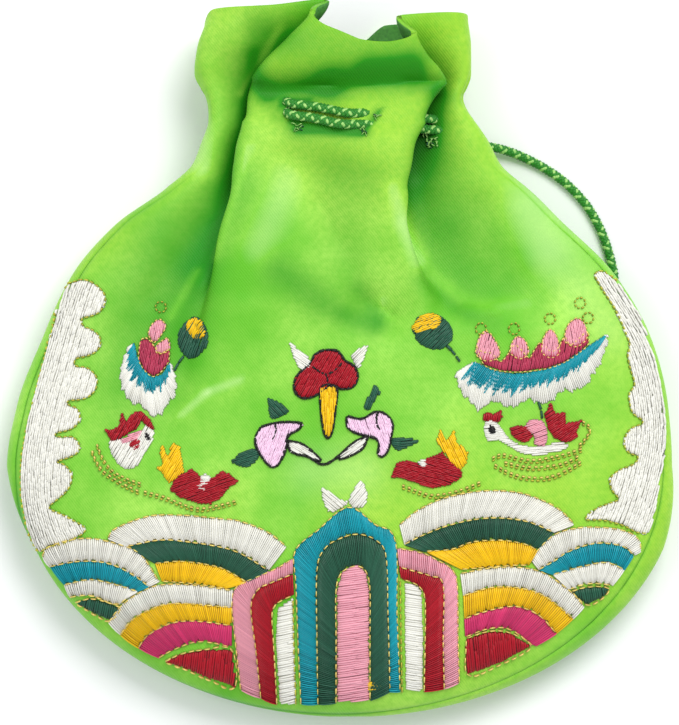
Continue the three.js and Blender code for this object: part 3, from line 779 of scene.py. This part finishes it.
def laid(pixels, guide, pitch=THREAD_PITCH, longest=4.5, pile=0.55, smooth=True):
    """Threads that fill an outline beside a guide, which is a line of pixels or an angle in degrees."""
    outline = line_of([*pixels, pixels[0]]) if smooth else np.array([in_photo(*pixel) for pixel in pixels])
    reach = np.ptp(outline, axis=0).max()
    if np.ndim(guide) == 0:
        way = np.array([math.cos(math.radians(guide)), math.sin(math.radians(guide))])
        guide = outline.mean(0) + way * np.arange(-reach, reach, GUIDE_STEP)[:, None]
    else:
        guide = line_of(guide, GUIDE_STEP)
    ahead = np.gradient(guide, axis=0)
    side = np.stack([-ahead[:, 1], ahead[:, 0]], 1) / np.linalg.norm(ahead, axis=1)[:, None]
    start, end = [], []
    for row in np.arange(-reach, reach, pitch):
        line = guide + side * (row + rng.uniform(-JITTER, JITTER))
        within = np.flatnonzero(inside(outline, line))
        for run in np.split(within, np.flatnonzero(np.diff(within) > 1) + 1):
            place = 0
            while place < len(run) - 3:
                reach_to = min(len(run) - 1, place + int(longest * rng.uniform(*LAID_STEPS)))
                if len(run) - reach_to < LAST_STEPS:
                    reach_to = len(run) - 1
                start.append(line[run[place]] + rng.normal(0, JITTER, 2))
                end.append(line[run[reach_to]] + rng.normal(0, JITTER, 2))
                place = max(place + 4, reach_to - OVERLAP_STEPS) if reach_to < len(run) - 1 else len(run)
    if not start:
        return np.zeros((0, 6))
    return as_threads(np.array(start), np.array(end), pitch * LAID_WIDTH, pile)


def dashes(pixels, dash=1.25, gap=0.4, width=0.38, pile=0.8):
    """A running stitch along a line of pixels."""
    line = line_of(pixels, GUIDE_STEP)
    count = max(1, round(run_along(line)[-1] / (dash + gap)))
    starts = (np.arange(count) + rng.uniform(-0.08, 0.08, count)) / count
    share = dash / (dash + gap) / count
    return as_threads(at_shares(line, starts), at_shares(line, np.minimum(1, starts + share)), width, pile)


def floss(name, light, dark, metallic=0, roughness=0.4):
    """Embroidery thread: painted highlight along its crest, painted shade where it meets its neighbour, a
    random tone per thread.
    """
    material, tree = new_material(name)
    bright = 0.25
    # The crest layer adds the painted highlight and painted shade; the shade layer is each thread's random
    # tone
    for layer, share in (("crest", 0.55), ("shade", 0.3)):
        value = add_node(tree, "ShaderNodeAttribute", attribute_name=layer).outputs["Fac"]
        inputs = {0: value, 1: share, 2: bright}
        bright = add_node(tree, "ShaderNodeMath", inputs, operation="MULTIPLY_ADD").outputs[0]
    settings = {
        "Roughness": roughness,
        "Metallic": metallic,
        "IOR": 1.53,
        "Sheen Weight": 0.05,
        "Specular IOR Level": 0.3,
        "Normal": relief(tree, noise(tree, 2200), 0.3),
    }
    surface(tree, mixed(tree, bright, dark, light), settings)
    return material


# Each floss: its colour at the painted highlight of the crest, then the painted shade between threads, which
# is also the darker end of each thread's random tone
rayon_colours = {
    "white": ("F2F1E8", "C6C4B6"),
    "teal": ("06A6B6", "04606E"),
    "dark_green": ("28624A", "0A2A1C"),
    "yellow": ("FFD20A", "B07E04"),
    "magenta": ("E23C78", "8A1844"),
    "dark_red": ("B80E24", "5E0410"),
    "crimson": ("C03C5C", "701A34"),
    "pink": ("F2ACBA", "B2687A"),
    "pale_pink": ("FADAF0", "C493B4"),
    "black": ("161414", "030303"),
}
threads_on_reels = {
    colour: floss(f"rayon_floss_{colour}", *shades) for colour, shades in rayon_colours.items()
}
threads_on_reels["gold"] = floss("metallised_gold_thread", "F8E07C", "A8862A", 0.25, 0.35)
threads_on_reels["olive"] = floss("metallised_olive_thread", "D2CC48", "6E6A18", 0.2)


def sew(motif, sewn):
    """One piece of embroidery for each colour of a motif."""
    for colour, groups in sewn.items():
        threads = np.concatenate(groups)
        threads = threads[np.linalg.norm(threads[:, 2:4] - threads[:, :2], axis=1) > SHORTEST]
        rows = len(THREAD_ROWS)
        places, crests, shades = [], [], []
        for x1, y1, x2, y2, width, pile in threads:
            hits = [on_satin(x1 + (x2 - x1) * share, y1 + (y2 - y1) * share) for share in THREAD_ROWS]
            ahead = hits[-1][0] - hits[0][0]
            if ahead.length > math.hypot(x2 - x1, y2 - y1) * MM + STEEPEST * MM:
                continue
            shade = rng.uniform()
            for share, (place, normal) in zip(THREAD_ROWS, hits):
                side = ahead.cross(normal).normalized() * width / 2 * MM
                if share in (0, 1):
                    places += [place - normal * DIVE * MM] * 4
                    crests += [0] * 4
                else:
                    puffed = pile * (END_PILE if share in (THREAD_ROWS[1], THREAD_ROWS[-2]) else 1)
                    low = place + normal * (0.4 * puffed - DIVE) * MM
                    places += [low - side, place + normal * puffed * MM, low + side, low - side]
                    crests += [0, 1, 0, 0]
                shades += [shade] * 4
        form = bmesh.new()
        bmesh.ops.create_grid(form, x_segments=3, y_segments=len(places) // 4 - 1, size=0.5)
        # crest is 1 where the floss takes its painted highlight and 0 where it takes painted shade; shade is
        # each thread's random tone
        crest_layer = form.verts.layers.float.new("crest")
        shade_layer = form.verts.layers.float.new("shade")
        for corner, place, crest, shade in zip(form.verts, places, crests, shades):
            corner.co = place
            corner[crest_layer] = crest
            corner[shade_layer] = shade
        joins = [face for index, face in enumerate(form.faces) if index // 3 % rows == rows - 1]
        bmesh.ops.delete(form, geom=joins, context="FACES_ONLY")
        bmesh.ops.remove_doubles(form, verts=form.verts, dist=1e-7)
        mesh = bpy.data.meshes.new(f"{motif}_{colour}")
        form.to_mesh(mesh)
        form.free()
        mesh.materials.append(threads_on_reels[colour])
        piece = link(mesh.name, mesh)
        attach(piece, "root")


def fan(sewn, colours, edges, ragged=0.3):
    """Bands of threads between nested edges, with a gold running stitch along each edge."""
    for outer, inner, colour in zip(edges, edges[1:], colours):
        sewn[colour].append(across(outer, inner, ragged=ragged))
    sewn["gold"] += [dashes(edge) for edge in edges]


def fill(sewn, colour, outlines, **laying):
    """Threads of one colour in outlines, each with the angle of its threads."""
    sewn[colour] += [laid(outline, angle, pitch=FINE_PITCH, **laying) for outline, angle in outlines]


def bead(sewn, outlines):
    """Gold beads round outlines."""
    sewn["gold"] += [dashes([*outline, outline[0]], **BEADS) for outline, _ in outlines]


# Wave borders: white foam down both sides of the belly, laid lengthwise along the edge, scalloped inwards
sewn = defaultdict(list)
left_edge = [
    (66, 290), (57, 313), (46, 356), (33, 405), (27, 430), (22, 462), (22, 490), (26, 517), (33, 539),
    (41, 552),
]
left_guide = [(86, 240), *left_edge[::2], (60, 590)]
left_foam = [
    (66, 290), (72, 283), (86, 280), (99, 287), (106, 298), (101, 311), (92, 316), (82, 319), (84, 326),
    (95, 331), (101, 340), (98, 350), (88, 356), (76, 359), (76, 366), (88, 368), (97, 378), (95, 391),
    (84, 399), (68, 401), (69, 405), (78, 409), (80, 420), (72, 429), (55, 434), (60, 437), (73, 437),
    (80, 446), (75, 455), (57, 462), (64, 464), (72, 474), (68, 490), (50, 506), (53, 510), (68, 517),
    (86, 530), (64, 543), (50, 546), (41, 552),
]
sewn["white"] = [laid([*left_foam, *left_edge[-2:0:-1]], left_guide, longest=2.6, pile=0.6)]
right_guide = [(590, 240), (616, 280), (654, 346), (669, 418), (665, 471), (645, 535), (620, 575)]
right_edge = [
    (616, 282), (635, 309), (650, 346), (660, 387), (665, 418), (665, 448), (661, 471), (655, 508),
    (647, 533),
]
right_foam = [
    (616, 282), (603, 272), (594, 274), (600, 287), (611, 304), (619, 319), (625, 333), (629, 345),
    (627, 356), (630, 370), (634, 384), (629, 393), (629, 402), (632, 413), (643, 422), (631, 428),
    (625, 436), (624, 446), (629, 453), (638, 457), (633, 464), (619, 470), (610, 478), (611, 489),
    (618, 499), (609, 503), (595, 509), (585, 519), (602, 520), (622, 525), (636, 532), (647, 533),
]
sewn["white"].append(laid([*right_foam, *right_edge[-2:0:-1]], right_guide, longest=2.6, pile=0.6))
sewn["olive"] = [dashes(line, dash=0.8, gap=0.35) for line in (left_foam, left_edge[1:], right_foam)]
sew("wave_border", sewn)

# Waves: nested arcs of satin stitch at both sides of the rock, each thread laid across its band
sewn = defaultdict(list)
waves = [
    (
        ["white", "teal", "white"],
        [(44, 556), (50, 546), (83, 538), (116, 543), (141, 554), (159, 581)],
        [(51, 566), (80, 561), (108, 563), (131, 573), (149, 586)],
        [(65, 584), (91, 579), (116, 584), (138, 591)],
        [(71, 596), (92, 595), (116, 604), (128, 597)],
    ),
    (
        ["white", "dark_green", "yellow"],
        [(108, 538), (116, 528), (149, 516), (182, 515), (216, 518), (240, 521), (268, 532), (286, 546)],
        [(128, 546), (158, 540), (182, 541), (216, 546), (240, 553), (268, 570)],
        [(156, 563), (182, 561), (216, 566), (234, 574), (247, 582)],
        [(163, 581), (191, 583), (226, 588)],
    ),
    (
        ["white", "yellow", "magenta"],
        [(109, 622), (123, 604), (146, 589), (166, 584), (196, 585), (232, 590)],
        [(121, 634), (133, 619), (158, 606), (182, 603), (231, 607)],
        [(139, 647), (149, 634), (174, 622), (200, 621), (231, 625)],
        [(159, 657), (174, 649), (199, 641), (231, 646)],
    ),
    (
        ["white", "teal", "white"],
        [(532, 560), (539, 548), (557, 533), (587, 527), (622, 530), (638, 539), (640, 551)],
        [(539, 569), (555, 560), (569, 551), (596, 543), (622, 546), (633, 555)],
        [(553, 574), (578, 567), (605, 562), (624, 569)],
        [(569, 589), (583, 584), (596, 583), (612, 585)],
    ),
    (
        ["white", "dark_green", "yellow"],
        [(400, 524), (418, 510), (444, 498), (480, 491), (516, 492), (542, 500), (560, 510), (574, 524)],
        [(405, 544), (423, 535), (453, 524), (489, 518), (525, 521), (553, 532)],
        [(426, 551), (452, 549), (471, 542), (500, 540), (525, 544), (537, 550)],
        [(462, 569), (489, 567), (514, 565), (528, 565)],
    ),
    (
        ["white", "yellow", "magenta"],
        [(461, 573), (490, 568), (516, 567), (542, 572), (569, 590), (584, 606)],
        [(464, 595), (492, 587), (521, 588), (545, 596), (573, 618)],
        [(465, 618), (489, 610), (516, 606), (539, 615), (556, 633)],
        [(466, 636), (489, 628), (510, 629), (534, 646)],
    ),
]
for colours, *edges in waves:
    fan(sewn, colours, edges)
wedges = [
    ("dark_green", [(76, 602), (92, 598), (108, 602), (121, 608), (110, 621), (99, 616), (87, 609)], 80),
    ("dark_red", [(165, 661), (182, 653), (205, 649), (232, 649), (235, 687), (211, 680), (186, 669)], 84),
    ("dark_green", [(571, 591), (585, 587), (598, 586), (609, 588), (603, 597), (587, 605)], 100),
    ("dark_red", [(466, 638), (488, 631), (509, 632), (531, 646), (502, 663), (468, 675)], 95),
]
for colour, outline, angle in wedges:
    sewn[colour].append(laid(outline, angle, longest=6, smooth=False))
    sewn["gold"].append(dashes([*outline, outline[0]]))
sew("wave_arcs", sewn)

# Rock: a teal and a green arch nested round a pink core, with a stepped arch of three colours at each side
sewn = defaultdict(list)
teal_arch = [
    (301, 703), (298, 640), (296, 584), (295, 551), (318, 530), (348, 507), (374, 524), (395, 540),
    (397, 616), (400, 691),
]
green_arch = [
    (318, 703), (317, 640), (317, 570), (325, 548), (341, 538), (358, 534), (376, 540), (386, 556),
    (388, 616), (390, 691),
]
core_arch = [
    (336, 702), (336, 640), (336, 590), (341, 573), (350, 567), (360, 566), (367, 573), (370, 590),
    (370, 640), (370, 700),
]
sewn["teal"] = [across(teal_arch, green_arch, pitch=0.4)]
sewn["dark_green"] = [across(green_arch, core_arch, pitch=0.4)]
sewn["pink"] = [laid(core_arch, 8, longest=6, smooth=False)]
sewn["yellow"] = [laid([(366, 681), (376, 680), (386, 685), (376, 690), (367, 689)], 5, smooth=False)]
sewn["gold"] = [dashes(edge) for edge in (teal_arch, green_arch, core_arch)]
left_rock = [
    [(241, 689), (236, 646), (232, 605), (236, 587), (256, 577), (275, 569), (292, 559)],
    [(261, 697), (256, 650), (251, 608), (257, 590), (270, 583), (285, 577), (292, 574)],
    [(277, 703), (274, 650), (272, 616), (275, 605), (284, 599), (293, 595)],
]
right_rock = [
    [(459, 682), (458, 640), (457, 584), (451, 568), (437, 560), (423, 553), (398, 548)],
    [(444, 688), (443, 640), (443, 584), (431, 576), (418, 572), (400, 567)],
    [(424, 691), (425, 640), (425, 600), (421, 588), (412, 582), (402, 579)],
]
for steps in (left_rock, right_rock):
    fan(sewn, ["pink", "dark_red"], steps, ragged=0.15)
left_band = [(279, 703), (275, 640), (277, 610), (293, 598), (295, 640), (297, 704)]
right_band = [(405, 690), (404, 640), (404, 582), (414, 584), (422, 590), (424, 640), (423, 690)]
sewn["white"] = [laid(left_band, 12, smooth=False), laid(right_band, -8, smooth=False)]
band_edges = ([(296, 704), (294, 650), (293, 598)], [(402, 692), (401, 640), (400, 579)])
sewn["olive"] = [dashes(edge) for edge in band_edges]
left_spray = [(320, 487), (327, 490), (340, 499), (348, 503), (338, 511), (329, 511), (323, 500)]
right_spray = [(348, 503), (352, 494), (361, 480), (368, 494), (362, 507), (352, 508)]
sewn["white"] += [laid(left_spray, -40, pitch=0.36), laid(right_spray, 50, pitch=0.36)]
sew("rock", sewn)

# Cloud and flowers: a red cloud on a yellow stem between white leaves, over a branch with two pink flowers
sewn = defaultdict(list)
cloud = [
    (325, 350), (338, 351), (344, 360), (354, 366), (358, 377), (353, 387), (341, 389), (331, 385),
    (321, 392), (310, 398), (299, 397), (294, 388), (296, 377), (304, 369), (311, 363), (315, 354),
]
stem = [(320, 387), (328, 384), (337, 388), (335, 412), (331, 436), (325, 436), (321, 412)]
cloud_leaves = [
    [(289, 342), (299, 350), (311, 361), (312, 368), (302, 370), (294, 358)],
    [(369, 344), (357, 350), (351, 357), (357, 368), (363, 361)],
]
branch_leaves = [
    [(287, 441), (300, 443), (313, 452), (322, 462), (306, 456), (291, 452)],
    [(368, 436), (356, 441), (345, 450), (337, 459), (350, 456), (363, 448)],
]
flowers = [
    [(261, 427), (275, 423), (290, 422), (303, 424), (296, 431), (287, 436), (286, 448), (281, 460),
     (273, 468), (262, 457), (255, 441)],
    [(347, 416), (362, 419), (378, 411), (392, 421), (391, 437), (387, 453), (378, 457), (379, 441),
     (368, 436), (356, 433), (347, 427)],
]
green_leaves = [
    ([(267, 397), (278, 402), (289, 411), (281, 417), (271, 418)], -45),
    ([(230, 462), (242, 452), (254, 449), (260, 454), (254, 463), (243, 467)], 20),
    ([(375, 384), (380, 391), (374, 402), (368, 411), (364, 406), (370, 394)], 70),
    ([(389, 439), (403, 438), (419, 441), (408, 447), (395, 449)], 5),
]
fill(sewn, "dark_red", [(cloud, 60)], longest=3, pile=0.6)
fill(sewn, "yellow", [(stem, 88)], longest=4, pile=0.65)
fill(sewn, "white", zip(cloud_leaves + branch_leaves, (-35, 45, -30, 35)), longest=4)
fill(sewn, "pale_pink", zip(flowers, (70, 110)), longest=1.6)
fill(sewn, "dark_green", green_leaves, longest=3)
black_lines = [
    *([*outline, outline[0]] for outline in (cloud, stem, *branch_leaves, *flowers)),
    [(306, 455), (315, 461), (323, 465), (332, 461), (340, 455)],
    [(325, 372), (328, 380), (328, 388)],
    [(312, 366), (320, 372), (325, 374)],
    [(342, 362), (336, 370), (328, 374)],
    [(275, 423), (276, 432), (272, 440)],
    [(378, 411), (376, 422), (380, 430)],
]
sewn["black"] = [dashes(line, dash=1.3, gap=-0.1, width=0.6) for line in black_lines]
sew("cloud_and_flowers", sewn)

# Lotus: a flower at each side with crimson petals over a fringe of teal and white, and a seed pod beside it
lotus_colours = ("crimson", "pink", "dark_green", "yellow", "gold", "white", "teal", "olive")
sewn = {colour: [] for colour in lotus_colours}
right_fringe_top = [(458, 372), (475, 362), (501, 372), (532, 372), (562, 363), (587, 347), (606, 335)]
right_fringe_middle = [(464, 376), (474, 386), (500, 392), (520, 391), (550, 383), (576, 370), (598, 347)]
right_fringe_tips = [
    (456, 376), (461, 392), (470, 402), (478, 411), (488, 404), (497, 402), (507, 408), (517, 406),
    (527, 400), (541, 404), (553, 400), (562, 391), (575, 391), (586, 386), (593, 374), (601, 362),
    (608, 337),
]
sewn["white"].append(across(right_fringe_top, right_fringe_tips, ragged=0.35, pile=0.6))
sewn["teal"].append(across(right_fringe_top[1:], right_fringe_middle, pitch=0.36, ragged=0.9, pile=1))
right_petals = [
    ([(476, 346), (482, 352), (491, 353), (500, 362), (507, 355), (514, 345), (521, 350), (529, 358),
      (534, 350), (541, 342), (549, 351), (557, 349), (564, 337), (570, 345), (580, 337), (587, 331),
      (588, 343), (580, 352), (563, 363), (545, 369), (520, 372), (500, 371), (484, 365)], 80),
]
right_tips = [
    ([(475, 353), (479, 338), (486, 331), (495, 340), (500, 355), (490, 361), (480, 359)], 75),
    ([(509, 353), (512, 342), (518, 336), (526, 342), (528, 354), (519, 359)], 85),
    ([(541, 353), (543, 338), (550, 329), (557, 338), (559, 353), (550, 358)], 92),
    ([(563, 341), (567, 326), (577, 318), (585, 326), (586, 339), (575, 347)], 100),
]
left_petals = [
    ([(139, 350), (141, 340), (147, 338), (154, 346), (161, 354), (169, 350), (169, 362), (161, 373),
      (153, 377), (145, 371), (139, 361)], 80),
]
left_tips = [
    ([(148, 334), (152, 324), (160, 319), (166, 326), (162, 334), (154, 343)], 80),
    ([(157, 345), (162, 341), (168, 338), (170, 349), (162, 354), (156, 352)], 90),
]
fill(sewn, "crimson", right_petals + left_petals, longest=3, smooth=False)
fill(sewn, "pink", right_tips + left_tips, longest=2.6, pile=0.62)
bead(sewn, right_petals)
left_fringe_top = [(134, 344), (137, 356), (143, 369), (153, 377), (163, 374), (170, 364)]
left_fringe_middle = [(129, 352), (127, 368), (134, 381), (148, 392), (162, 387), (171, 372)]
left_fringe_tips = [
    (128, 348), (122, 364), (120, 380), (124, 394), (131, 403), (143, 408), (153, 417), (161, 415),
    (167, 405), (175, 395), (176, 381), (172, 366),
]
sewn["teal"].append(across(left_fringe_top, left_fringe_middle, pitch=0.36, ragged=0.9, pile=1))
sewn["white"].append(across(left_fringe_top, left_fringe_tips, ragged=0.35, pile=0.6))
pods = [
    ([(411, 330), (419, 318), (432, 313), (445, 318), (453, 331), (450, 343), (437, 350), (420, 345)], 45),
    ([(186, 321), (197, 316), (206, 326), (208, 342), (199, 356), (188, 359), (179, 348), (179, 333)], 70),
]
pod_caps = [
    ([(411, 328), (419, 317), (431, 313), (442, 318), (437, 327), (425, 330), (416, 333)], 20),
    ([(185, 323), (195, 317), (204, 323), (205, 335), (197, 340), (189, 335)], 60),
]
fill(sewn, "dark_green", pods, longest=4)
fill(sewn, "yellow", pod_caps, longest=3, pile=0.72)
stems = [
    [(446, 345), (453, 352), (460, 362)],
    [(184, 356), (178, 364), (174, 372)],
    [(538, 401), (541, 410), (542, 419)],
]
sewn["dark_green"] += [dashes(stem, dash=1.6, gap=0.05, width=0.6) for stem in stems]


def ring(column, row, radius):
    """A circle of pixels, closed."""
    turns = np.linspace(0, 2 * math.pi, 9)
    return [(column + radius * math.cos(turn), row + radius * math.sin(turn)) for turn in turns]


for centre in ((481, 329), (514, 329), (550, 319), (580, 303), (588, 318), (161, 307)):
    sewn["olive"].append(dashes(ring(*centre, 5.5), dash=0.6, gap=0.3, width=0.36))
bead(sewn, right_tips + left_petals + left_tips)
sew("lotus", sewn)

# Ducks: a white one on gold waves at each side under the lotus, and a red one beside each
sewn = defaultdict(list)
white_bodies = [
    ([(483, 432), (484, 423), (492, 420), (499, 424), (506, 434), (515, 442), (526, 446), (542, 446),
      (558, 443), (569, 444), (565, 449), (550, 453), (534, 455), (518, 452), (507, 445), (497, 440),
      (487, 440)], 5),
    ([(109, 441), (119, 439), (130, 437), (140, 432), (146, 424), (152, 424), (154, 434), (150, 444),
      (143, 456), (137, 466), (126, 470), (116, 462), (110, 451)], 60),
]
red_wings = [
    ([(509, 429), (518, 425), (528, 427), (533, 435), (528, 443), (518, 441), (511, 436)], 20),
    ([(544, 415), (551, 401), (556, 413), (566, 412), (566, 423), (582, 420), (577, 431), (579, 437),
      (566, 443), (554, 439), (547, 429)], 35),
    ([(103, 428), (111, 430), (119, 426), (122, 411), (127, 423), (134, 412), (141, 410), (151, 419),
      (155, 430), (149, 429), (141, 421), (135, 430), (127, 434), (119, 440), (111, 442), (107, 434)], 60),
    ([(130, 440), (135, 436), (141, 440), (140, 448), (134, 451), (129, 446)], 30),
    ([(483, 421), (484, 414), (489, 411), (493, 414), (501, 409), (502, 417), (498, 423), (491, 422)], 80),
]
pink_wings = [
    ([(523, 428), (531, 420), (543, 421), (548, 433), (545, 445), (534, 444), (533, 436)], 20),
    ([(120, 441), (128, 436), (138, 431), (143, 432), (139, 438), (130, 442), (122, 444)], 20),
]
red_ducks = [
    ([(169, 490), (175, 478), (185, 473), (193, 469), (200, 475), (206, 482), (214, 477), (223, 470),
      (231, 475), (240, 481), (230, 486), (223, 496), (210, 504), (196, 503), (180, 498)], 20),
    ([(390, 477), (396, 463), (406, 460), (416, 463), (421, 466), (425, 458), (434, 455), (442, 452),
      (449, 460), (456, 466), (463, 472), (462, 478), (450, 485), (434, 488), (417, 483), (403, 478)], -15),
]
yellow_tails = [
    ([(155, 466), (163, 466), (160, 454), (162, 443), (168, 456), (173, 442), (180, 446), (183, 462),
      (184, 472), (177, 479), (169, 484), (163, 476)], 60),
    ([(436, 440), (440, 428), (446, 440), (454, 429), (456, 442), (463, 446), (468, 453), (467, 464),
      (461, 471), (452, 465), (444, 452)], 115),
]
fill(sewn, "white", white_bodies, longest=3.6)
fill(sewn, "dark_red", red_wings + red_ducks, longest=3, pile=0.85, smooth=False)
fill(sewn, "pink", pink_wings, longest=2.6, pile=0.8)
fill(sewn, "yellow", yellow_tails, longest=3.6, smooth=False)
left_back = [(200, 476), (206, 474), (212, 479), (207, 485), (205, 490), (196, 487), (198, 482)]
right_back = [(417, 462), (424, 459), (428, 464), (422, 468)]
fill(sewn, "white", [(left_back, 0)], pile=0.8)
fill(sewn, "white", [(right_back, 0)], pile=0.9)
for centre, radius in (((492, 430), 4.6), ((148, 437), 3.6)):
    sewn["black"].append(laid(ring(*centre, radius)[:-1], 30, pitch=0.3, pile=0.85))
for line in (
    [(492, 458), (503, 454), (530, 460), (556, 456), (584, 448)],
    [(494, 464), (508, 472), (526, 477), (548, 477), (566, 470), (583, 460)],
    [(504, 462), (530, 467), (560, 464), (580, 455)],
    [(92, 450), (97, 462), (105, 472), (122, 483), (141, 492)],
    [(97, 444), (103, 458), (112, 470), (128, 479), (143, 484)],
    [(144, 491), (165, 497), (196, 508), (220, 505), (238, 500)],
    [(402, 485), (418, 491), (434, 495), (460, 490), (482, 481)],
    [(582, 421), (590, 428), (584, 440), (577, 446)],
):
    sewn["gold"].append(dashes(line, dash=0.7, gap=0.5, width=0.5))
    sewn["olive"].append(dashes([(column, row + 3) for column, row in line], dash=0.7, gap=0.4, width=0.44))
sew("ducks", sewn)

# Slits: the cord goes through small cut holes in the front, whose edges have frayed into loose floats
sewn = {"dark_green": [], "lime": []}
threads_on_reels["lime"] = floss("silk_float_lime", "A6DC78", "4E9C30")
slits = [
    (286, 108, 3, 8), (298, 128, 3, 10), (376, 116, 3, 8), (364, 131, 3, 7), (425, 130, 5, 14),
    (432, 142, 5, 20),
]
for column, row, spread, count in slits:
    root = np.array([in_photo(column, row)] * count) + rng.normal(0, spread * PIXEL / 2, (count, 2))
    way = rng.uniform(0, 2 * math.pi, count)
    reach = rng.uniform(0.4, 1.1, count)[:, None]
    tip = root + np.stack([np.cos(way), np.sin(way)], 1) * reach
    frayed = as_threads(root, tip, 0.2, 0.8)
    sewn["lime"].append(frayed[: count * 4 // 5])
    sewn["dark_green"].append(frayed[count * 4 // 5 :])
sew("frayed_slits", sewn)

# Studio: a white floor under a large soft light from the upper right and a pale sky all round
floor = link("studio_floor", bpy.data.meshes.new("studio_floor"))
form = bmesh.new()
bmesh.ops.create_grid(form, x_segments=1, y_segments=1, size=1.5)
form.to_mesh(floor.data)
form.free()
paper, tree = new_material("white_paper")
surface(tree, linear("FBFBFB"), {"Roughness": 0.8})
floor.data.materials.append(paper)


def soft_light(name, place, size, power):
    """A square area light that looks at the middle of the pouch."""
    lamp = bpy.data.lights.new(name, "AREA")
    lamp.size = size
    lamp.energy = power
    light = bpy.data.objects.new(name, lamp)
    light.location = place
    light.rotation_euler = (-Vector(place)).to_track_quat("-Z", "Y").to_euler()
    bpy.context.collection.objects.link(light)


soft_light("upper_right_light", (0.3, 0.5, 0.85), 0.5, 6.6)
soft_light("fill_light", (-0.6, 0.1, 0.9), 0.7, 2.2)
sky = bpy.data.worlds.new("pale_sky")
sky.use_nodes = True
sky.node_tree.nodes["Background"].inputs["Color"].default_value = linear("F4F6FA")
sky.node_tree.nodes["Background"].inputs["Strength"].default_value = 0.68
bpy.context.scene.world = sky
bpy.context.scene.view_settings.view_transform = "Standard"
